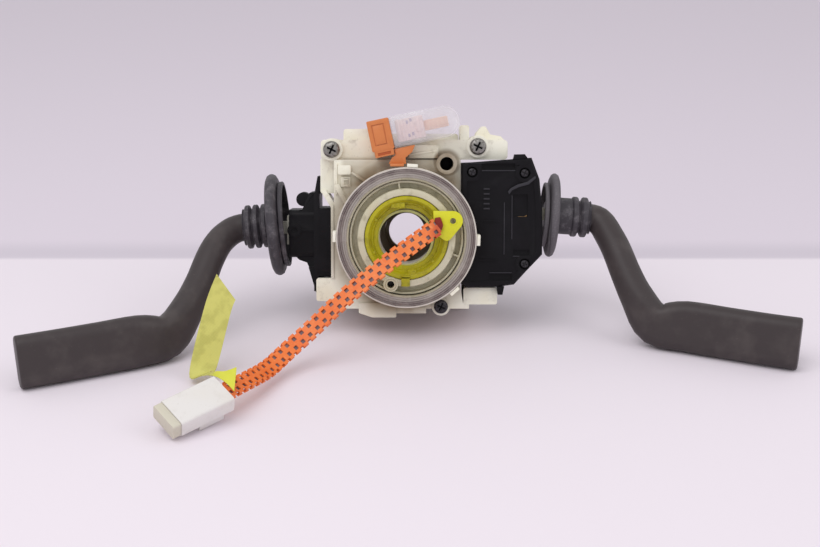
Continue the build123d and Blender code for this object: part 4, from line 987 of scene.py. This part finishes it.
# ============================ clock spring ====================================================
class MakeClockSpring(Maker, bpy.types.Operator):
    """Models the clock spring's housing and its clear cover"""
    bl_idname = "mesh.stalk_switch_clock_spring"
    bl_label = "Clock spring"

    def make(self):
        softened("housing", "stator_housing", 0.35, "white_nylon", "unit", "clean_nylon")
        form = Form("clear_ring")
        back, skirt = FACE_Y + 1.5, -15.5
        outline = [(COVER_IN, FACE_Y + 0.8), (COVER_IN + 0.3, FACE_Y)]
        for ridge in range(4):
            radius = 38.4 + ridge * 1.45
            outline += [(radius - 0.25, FACE_Y), (radius, FACE_Y - 0.3), (radius + 0.25, FACE_Y)]
        outline += [(RING_R - 1.3, FACE_Y), (RING_R - 1.1, FACE_Y - 0.5), (RING_R - 0.2, FACE_Y - 0.5),
                    (RING_R, FACE_Y - 0.3), (RING_R, back), (42.8, back), (42.8, skirt), (42.0, skirt),
                    (42.0, back), (COVER_IN, back)]
        form.turned(outline, steps=ROUND, closed=True)
        form.done("clear_plastic", "unit", ["stator_cover"], "clear_ring")


class MakeRotor(Maker, bpy.types.Operator):
    """Models the rotor with its groove, raised wall, hub and drive boss"""
    bl_idname = "mesh.stalk_switch_rotor"
    bl_label = "Rotor"

    def make(self):
        form = Form("rotor_face")
        floor, rim, back = GROOVE_Y, -18.5, -9.6
        hub_front, hub_back = -10.2, 12.5
        form.turned([(ROTOR_R, rim + 0.4), (ROTOR_R - 0.3, rim), (RIM_IN + 0.3, rim), (RIM_IN, rim + 0.3),
                     (RIM_IN, floor - 0.5), (RIM_IN - 0.5, floor), (WALL_OUT + 0.5, floor),
                     (WALL_OUT, floor - 0.5), (WALL_OUT, ROTOR_Y + 1.1), (WALL_OUT - 0.5, ROTOR_Y + 0.2),
                     (WALL_OUT - 1.3, ROTOR_Y), (WALL_IN + 1.3, ROTOR_Y), (WALL_IN + 0.4, ROTOR_Y + 0.2),
                     (WALL_IN, ROTOR_Y + 0.9), (WALL_IN, floor), (HUB_OUT, floor), (HUB_OUT, hub_front - 0.2),
                     (HUB_OUT - 0.3, hub_front), (HUB_IN + 0.3, hub_front), (HUB_IN, hub_front + 0.3),
                     (HUB_IN, hub_back - 0.3), (HUB_IN + 0.3, hub_back), (HUB_OUT - 0.3, hub_back),
                     (HUB_OUT, hub_back - 0.3), (HUB_OUT, back), (ROTOR_R, back)], steps=ROUND, closed=True)
        x, z = DRIVE_BOSS
        drill = Form("drill")
        drill.rod(4.7, (x, ROTOR_Y - 1, z), (x, floor, z), 0, 48)
        form.cut(drill)
        for angle in (98, 340):
            turn = (0, -math.radians(angle), 0)
            form.box((WALL_OUT - 0.4, RIM_IN + 0.2), (ROTOR_Y + 3.4, floor + 0.5), (-0.6, 0.6), 0.2, turn)
        form.turned([(2.3, floor + 0.3), (4.8, floor + 0.3), (4.8, -22.4), (4.4, -22.9), (3.9, -22.9),
                     (3.7, -22.3), (3.2, -22.3), (3.0, -22.9), (2.5, -22.9), (2.3, -22.6)],
                    (x, 0, z), steps=40, closed=True)
        form.done("white_nylon", "rotor",
                  ["rotor_disc", "rotor_rim", "rotor_wall", "rotor_hub", "drive_boss"], "rotor_nylon")
        form = Form("boss_floor")
        form.rod(2.6, (x, floor - 0.4, z), (x, floor + 0.2, z), 0.1, 24)
        form.done("white_nylon", "rotor", finish="dark_steel")


class MakeYellowRing(Maker, bpy.types.Operator):
    """Models the yellow ring with its pads, its clip and its ear"""
    bl_idname = "mesh.stalk_switch_yellow_ring"
    bl_label = "Yellow ring"

    def make(self):
        form = Form("dish")
        form.turned([(26.7, -20.7), (26.3, -21.1), (24.5, -21.1), (24.1, -20.8), (23.9, -20.0), (23.4, -19.6),
                     (22.2, -16.9), (21.7, -16.8), (20.9, -14.5), (19.2, -14.1), (18.6, -14.0), (18.4, -13.7),
                     (18.4, -12.4), (18.6, -12.2), (20.8, -12.2), (26.7, -17.4)], steps=ROUND, closed=True)
        form.box((-10.0, -0.8), (-18.6, -13.5), (18.9, 22.9), 0.5)
        for x in (-8.6, -5.4, -2.2):
            form.box((x - 1.1, x + 1.1), (-19.1, -18.0), (19.6, 22.3), 0.3)
        form.box((-3.4, 2.2), (-22.7, -21.55), (-31.2, -24.5), 0.4)
        form.box((-3.4, 2.2), (-22.7, -16.0), (-26.4, -24.0), 0.4)
        form.box((0.6, 6.4), (-19.2, -14.5), (-25.4, -20.4), 0.4)
        form.box((1.6, 5.4), (-19.7, -19.0), (-24.6, -21.6), 0.3)
        for angle in (150, 205, 235, 318, 60):
            turn = math.radians(angle)
            at = Vector((math.cos(turn), 0, math.sin(turn))) * 22.9
            form.rod(0.9, at + Y * -19.4, at + Y * -16.5, 0.2, 16)
        form.done("yellow_plastic", "rotor", ["yellow_ring"])

        form = Form("ring_lip")
        form.turned([(16.9, -12.1), (17.0, -12.3), (18.5, -12.3), (18.6, -12.1), (18.6, -10.5),
                     (16.9, -10.5)], (-0.9, 0, -0.9), closed=True)
        form.done("yellow_plastic", "rotor", finish="pale_yellow")

        form = Form("ear")
        low, high = -24.4, -22.6
        x, z = EAR_HOLE
        nose = [math.radians(90 - 10 * step) for step in range(14)]
        outline = [(17.0, z + 6.4)] + [(x + 6.3 * math.cos(turn), z + 6.3 * math.sin(turn)) for turn in nose]
        form.plate([*outline, (28.0, -0.8), (26.4, -1.8), (24.5, -1.6), (17.6, 3.0)], (low, high), 0.3)
        block = [(18.2, 12.0), (22.0, 12.5), (24.6, 6.0), (24.4, 4.2), (18.2, 4.0)]
        form.plate(block, (low + 0.2, -17.9), 0.3)
        drill = Form("drill")
        drill.rod(1.9, (x, low - 2, z), (x, high + 2, z), 0, 32)
        form.cut(drill)
        collar = [(1.9, low), (1.9, low - 0.35), (2.5, low - 0.35), (2.7, low + 0.1)]
        form.turned(collar, (x, 0, z), steps=32, closed=True)
        form.done("yellow_plastic", "rotor", finish="ear_plastic")


# ============================ bracket =========================================================
def cross_bars(form, middle, long, deep, wide):
    """Two bars crossed about Y, the shape of a screw's recess."""
    for turn in (25, 115):
        form.clear()
        bpy.ops.mesh.primitive_cube_add(size=1, location=middle, rotation=(0, math.radians(turn), 0),
                                        scale=(long, deep, wide))


def pan_head(form, at, seat, radius, height, length, shank):
    """A cross-recess pan-head screw along Y, its head's underside at seat."""
    x, z = at
    top = seat - height
    form.turned([(0, top), (radius * 0.62, top + height * 0.03), (radius * 0.86, top + height * 0.2),
                 (radius * 0.98, top + height * 0.5), (radius, seat - height * 0.15), (radius * 0.96, seat),
                 (shank, seat), (shank, seat + length), (0, seat + length)], (x, 0, z), steps=40)
    cross = Form("cross")
    cross_bars(cross, (x, top + height * 0.2, z), radius * 1.15, height * 0.95, radius * 0.24)
    form.cut(cross)


def cross_shade_floor(form, at, seat, radius, height):
    """A black cross at the bottom of a screw's recess: painted shade for the recess's depth."""
    x, z = at
    cross_bars(form, (x, seat - height * 0.42, z), radius * 1.12, height * 0.3, radius * 0.22)


# Each screw: its place in X and Z, its seat, and its head's radius and height
TOP_SCREWS = (((-48.8, 56.2), 0.5, 5.5, 3.4), ((46.4, 58.1), 0.5, 5.5, 3.4))
LOW_SCREW = ((22.5, -46.4), -1.5, 4.6, 3.0)
BRACKET_SHANK = (8.0, 2.1)  # a shank's length and radius
LID_SCREWS = ((42.6, 41.6), (76.7, 40.9), (77.0, -18.2))


class MakeBracket(Maker, bpy.types.Operator):
    """Models the bracket, the column's bush and the screws in front"""
    bl_idname = "mesh.stalk_switch_bracket"
    bl_label = "Bracket"

    def make(self):
        softened("bracket", "switch_bracket", 0.5, "white_nylon", "unit")
        softened("bush", "column_bush", 0.4, "white_nylon", "unit")
        form = Form("front_screws")
        for screw in TOP_SCREWS:
            pan_head(form, *screw, *BRACKET_SHANK)
        form.done("zinc_steel", "unit", ["bracket_screws"])
        form = Form("lower_screw")
        pan_head(form, *LOW_SCREW, *BRACKET_SHANK)
        form.done("zinc_steel", "unit", finish="dark_steel")
        form = Form("recess_shades")
        for screw in (*TOP_SCREWS, LOW_SCREW):
            cross_shade_floor(form, *screw)
        # A black disc at the far end of the hollow post's bore: painted shade inside the bore
        x, z = POST
        form.rod(4.5, (x, 14.1, z), (x, 15.0, z), 0.1, 32)
        form.done("black_case", "unit")
        self.latches()

    def latches(self):
        """The catch and its legs beside the clock spring, and the ledge above it."""
        form = Form("latches")
        form.box((-43.0, -36.4), (-4.4, 1.0), (41.6, 45.4), 0.8)
        form.plate([(-36.6, 41.0), (-35.4, 41.8), (-24.8, 35.6), (-26.0, 33.8)], (-2.4, 1.0), 0.3)
        form.plate([(-46.2, 30.4), (-43.6, 31.4), (-36.6, 19.8), (-39.2, 18.2)], (-2.6, 1.0), 0.3)
        form.box((-46.4, -45.0), (-1.4, 3.0), (27.0, 47.0), 0.3)
        for z in (36.2, 32.4):
            form.box((-41.4, -37.6), (-1.9, 0.4), (z, z + 1.0), 0.2)
        form.plate([(2.0, 53.4), (19.0, 56.2), (19.4, 54.8), (2.4, 52.0)], (-2.8, 0.6), 0.3)
        form.done("white_nylon", "unit")


class MakePlug(Maker, bpy.types.Operator):
    """Models the orange plug, its arm and the clear cap"""
    bl_idname = "mesh.stalk_switch_plug"
    bl_label = "Plug and clear cap"

    def make(self):
        softened("plug", "orange_plug", 0.45, "orange_plastic", "unit")
        softened("lead_arm", "orange_lead_arm", 0.4, "orange_plastic", "unit")
        softened("cap", "clear_cap", 0.5, "clear_plastic", "unit")
        foot = [((-5.6, 6.0), (-7.9, -6.2), (-13.5, -11.0), 0.3)]
        foot += [((-4.9, 3.7), (-8.2, -7.9), z, 0.1) for z in ((-6.8, -6.4), (6.9, 7.3))]
        insert = [((10.5, 28.8), (-5.6, 5.6), (-7.2, 7.2), 0.9)]
        insert += [(x, (-6.0, -5.4), (-6.6, 6.6), 0.2) for x in ((12.0, 12.9), (14.2, 15.1))]
        insert += [((23.0, 26.6), (-6.0, -5.4), (-3.0, 3.4), 0.3)]
        key = [((28.6, 44.6), (-2.9, 2.9), (-3.4, 3.4), 0.8), ((30.0, 43.0), (-3.3, -2.8), (-2.0, 2.0), 0.3)]
        # Grey patches on the insert where its slots are: painted shade in place of the slots' hollows
        slots = [((x, x + 1.4), (-5.85, -5.5), (z, z + 2.2), 0.2)
                 for x, z in ((17.6, 3.4), (17.6, -5.2), (20.2, 4.4), (20.2, -4.6))]
        for name, boxes, nodes, finish in (("plug_foot", foot, (), "dark_orange"),
                                           ("insert", insert, ["cap_insert"], "pink_plastic"),
                                           ("insert_key", key, (), "key_plastic"),
                                           ("insert_slots", slots, (), "slot_grey")):
            form = Form(name)
            for box in boxes:
                form.box(*box)
            form.done("orange_plastic", "unit", nodes, finish, PLUG)


LID_FACE = -4.3
# The lid's ridge and lines, drawn in a paler finish as painted highlights
LID_RIDGE = [(65.6, 28.8), (67.6, 31.2), (72.0, 33.6), (78.4, 35.4), (83.4, 39.2), (84.0, 37.8), (79.2, 33.6),
             (72.8, 31.8), (68.4, 29.8), (66.6, 27.2)]
LID_GLINT = [(71.0, 12.4), (73.6, 12.9), (76.4, 12.7), (78.2, 13.8), (78.4, 12.9), (76.2, 11.9), (72.0, 11.7)]
LID_LINES = (((48.8, 61.5), (9.2, 10.0)), ((47.6, 59.6), (-16.2, -15.4)), ((48.4, 70.6), (42.2, 42.9)),
             ((47.7, 48.4), (42.2, 47.2)), ((69.2, 79.6), (-13.4, -12.8)), ((40.0, 79.0), (47.2, 47.6)),
             ((63.2, 63.8), (-12.0, 22.0)), ((68.2, 68.8), (-2.0, 26.4)), ((36.6, 40.4), (36.0, 36.6)),
             ((38.6, 45.6), (8.8, 9.3)), ((54.0, 68.6), (-24.2, -23.6)))


class MakeCases(Maker, bpy.types.Operator):
    """Models the two switch cases and the right one's cover"""
    bl_idname = "mesh.stalk_switch_cases"
    bl_label = "Switch cases"

    def make(self):
        softened("left_box", "left_case", 0.4, "black_case", "unit")
        softened("right_box", "right_case", 0.4, "black_case", "unit")
        softened("right_lid", "right_cover", 0.35, "black_case", "unit")
        form = Form("lid_screws")
        for at in LID_SCREWS:
            pan_head(form, at, -2.6, 3.0, 1.8, 6.0, 1.25)
        form.done("zinc_steel", "unit", ["cover_screws"], "dark_steel")
        self.lid_highlights()

    def lid_highlights(self):
        """The lid's raised lines, painted paler than the rest as highlights on their edges, and a tan plate
        behind it, the painted glint of a board.
        """
        form = Form("lid_highlights")
        form.plate(LID_RIDGE, (-5.45, LID_FACE), 0.25)
        for row in range(5):
            form.box((50.0, 54.0), (-4.85, LID_FACE), (30.2 - row * 3.2, 31.2 - row * 3.2), 0.25)
        for x, z in LID_LINES:
            form.box(x, (-4.75, LID_FACE), z, 0.2)
        form.done("black_case", "unit", finish="worn_black")
        # A tan plate behind the lid: a painted glint, not a colour of its own
        form = Form("lid_glint")
        form.plate(LID_GLINT, (-3.4, -2.4), 0.15)
        form.done("black_case", "unit", finish="board")


class FinishFrame(Maker, bpy.types.Operator):
    """Gives the inner pieces, which keep the frame's shapes, their finishes"""
    bl_idname = "mesh.stalk_switch_inner_pieces"
    bl_label = "Inner pieces"

    def make(self):
        for part in frame["record"]["subparts"]:
            node = frame["nodes"][part["node"]]
            node.data.materials.clear()
            node.data.materials.append(FINISHES[part["material_slot"]])


MAKERS = (MakeStage, MakeHarness, MakeStalks, MakeBoots, MakeClockSpring, MakeRotor, MakeYellowRing,
          MakeBracket, MakePlug, MakeCases, FinishFrame)


class StalkSwitchPanel(bpy.types.Panel):
    bl_idname = "VIEW3D_PT_stalk_switch"
    bl_label = "Stalk Switch"
    bl_space_type = "VIEW_3D"
    bl_region_type = "UI"
    bl_category = "Stalk Switch"

    def draw(self, context):
        for group, kind in SETTINGS.items():
            box = self.layout.box()
            for name in kind.__annotations__:
                box.prop(settings(group), name)
        for maker in MAKERS:
            self.layout.operator(maker.bl_idname)


def register():
    for kind in (*SETTINGS.values(), *MAKERS, StalkSwitchPanel):
        bpy.utils.register_class(kind)
    for group, kind in SETTINGS.items():
        setattr(bpy.types.Scene, "stalk_switch_" + group, bpy.props.PointerProperty(type=kind))


def unregister():
    for group in SETTINGS:
        delattr(bpy.types.Scene, "stalk_switch_" + group)
    for kind in reversed((*SETTINGS.values(), *MAKERS, StalkSwitchPanel)):
        bpy.utils.unregister_class(kind)


def main():
    register()
    make_finishes()
    for maker in MAKERS:
        getattr(bpy.ops.mesh, maker.bl_idname.split(".")[1])()


if __name__ == "__main__":
    main()
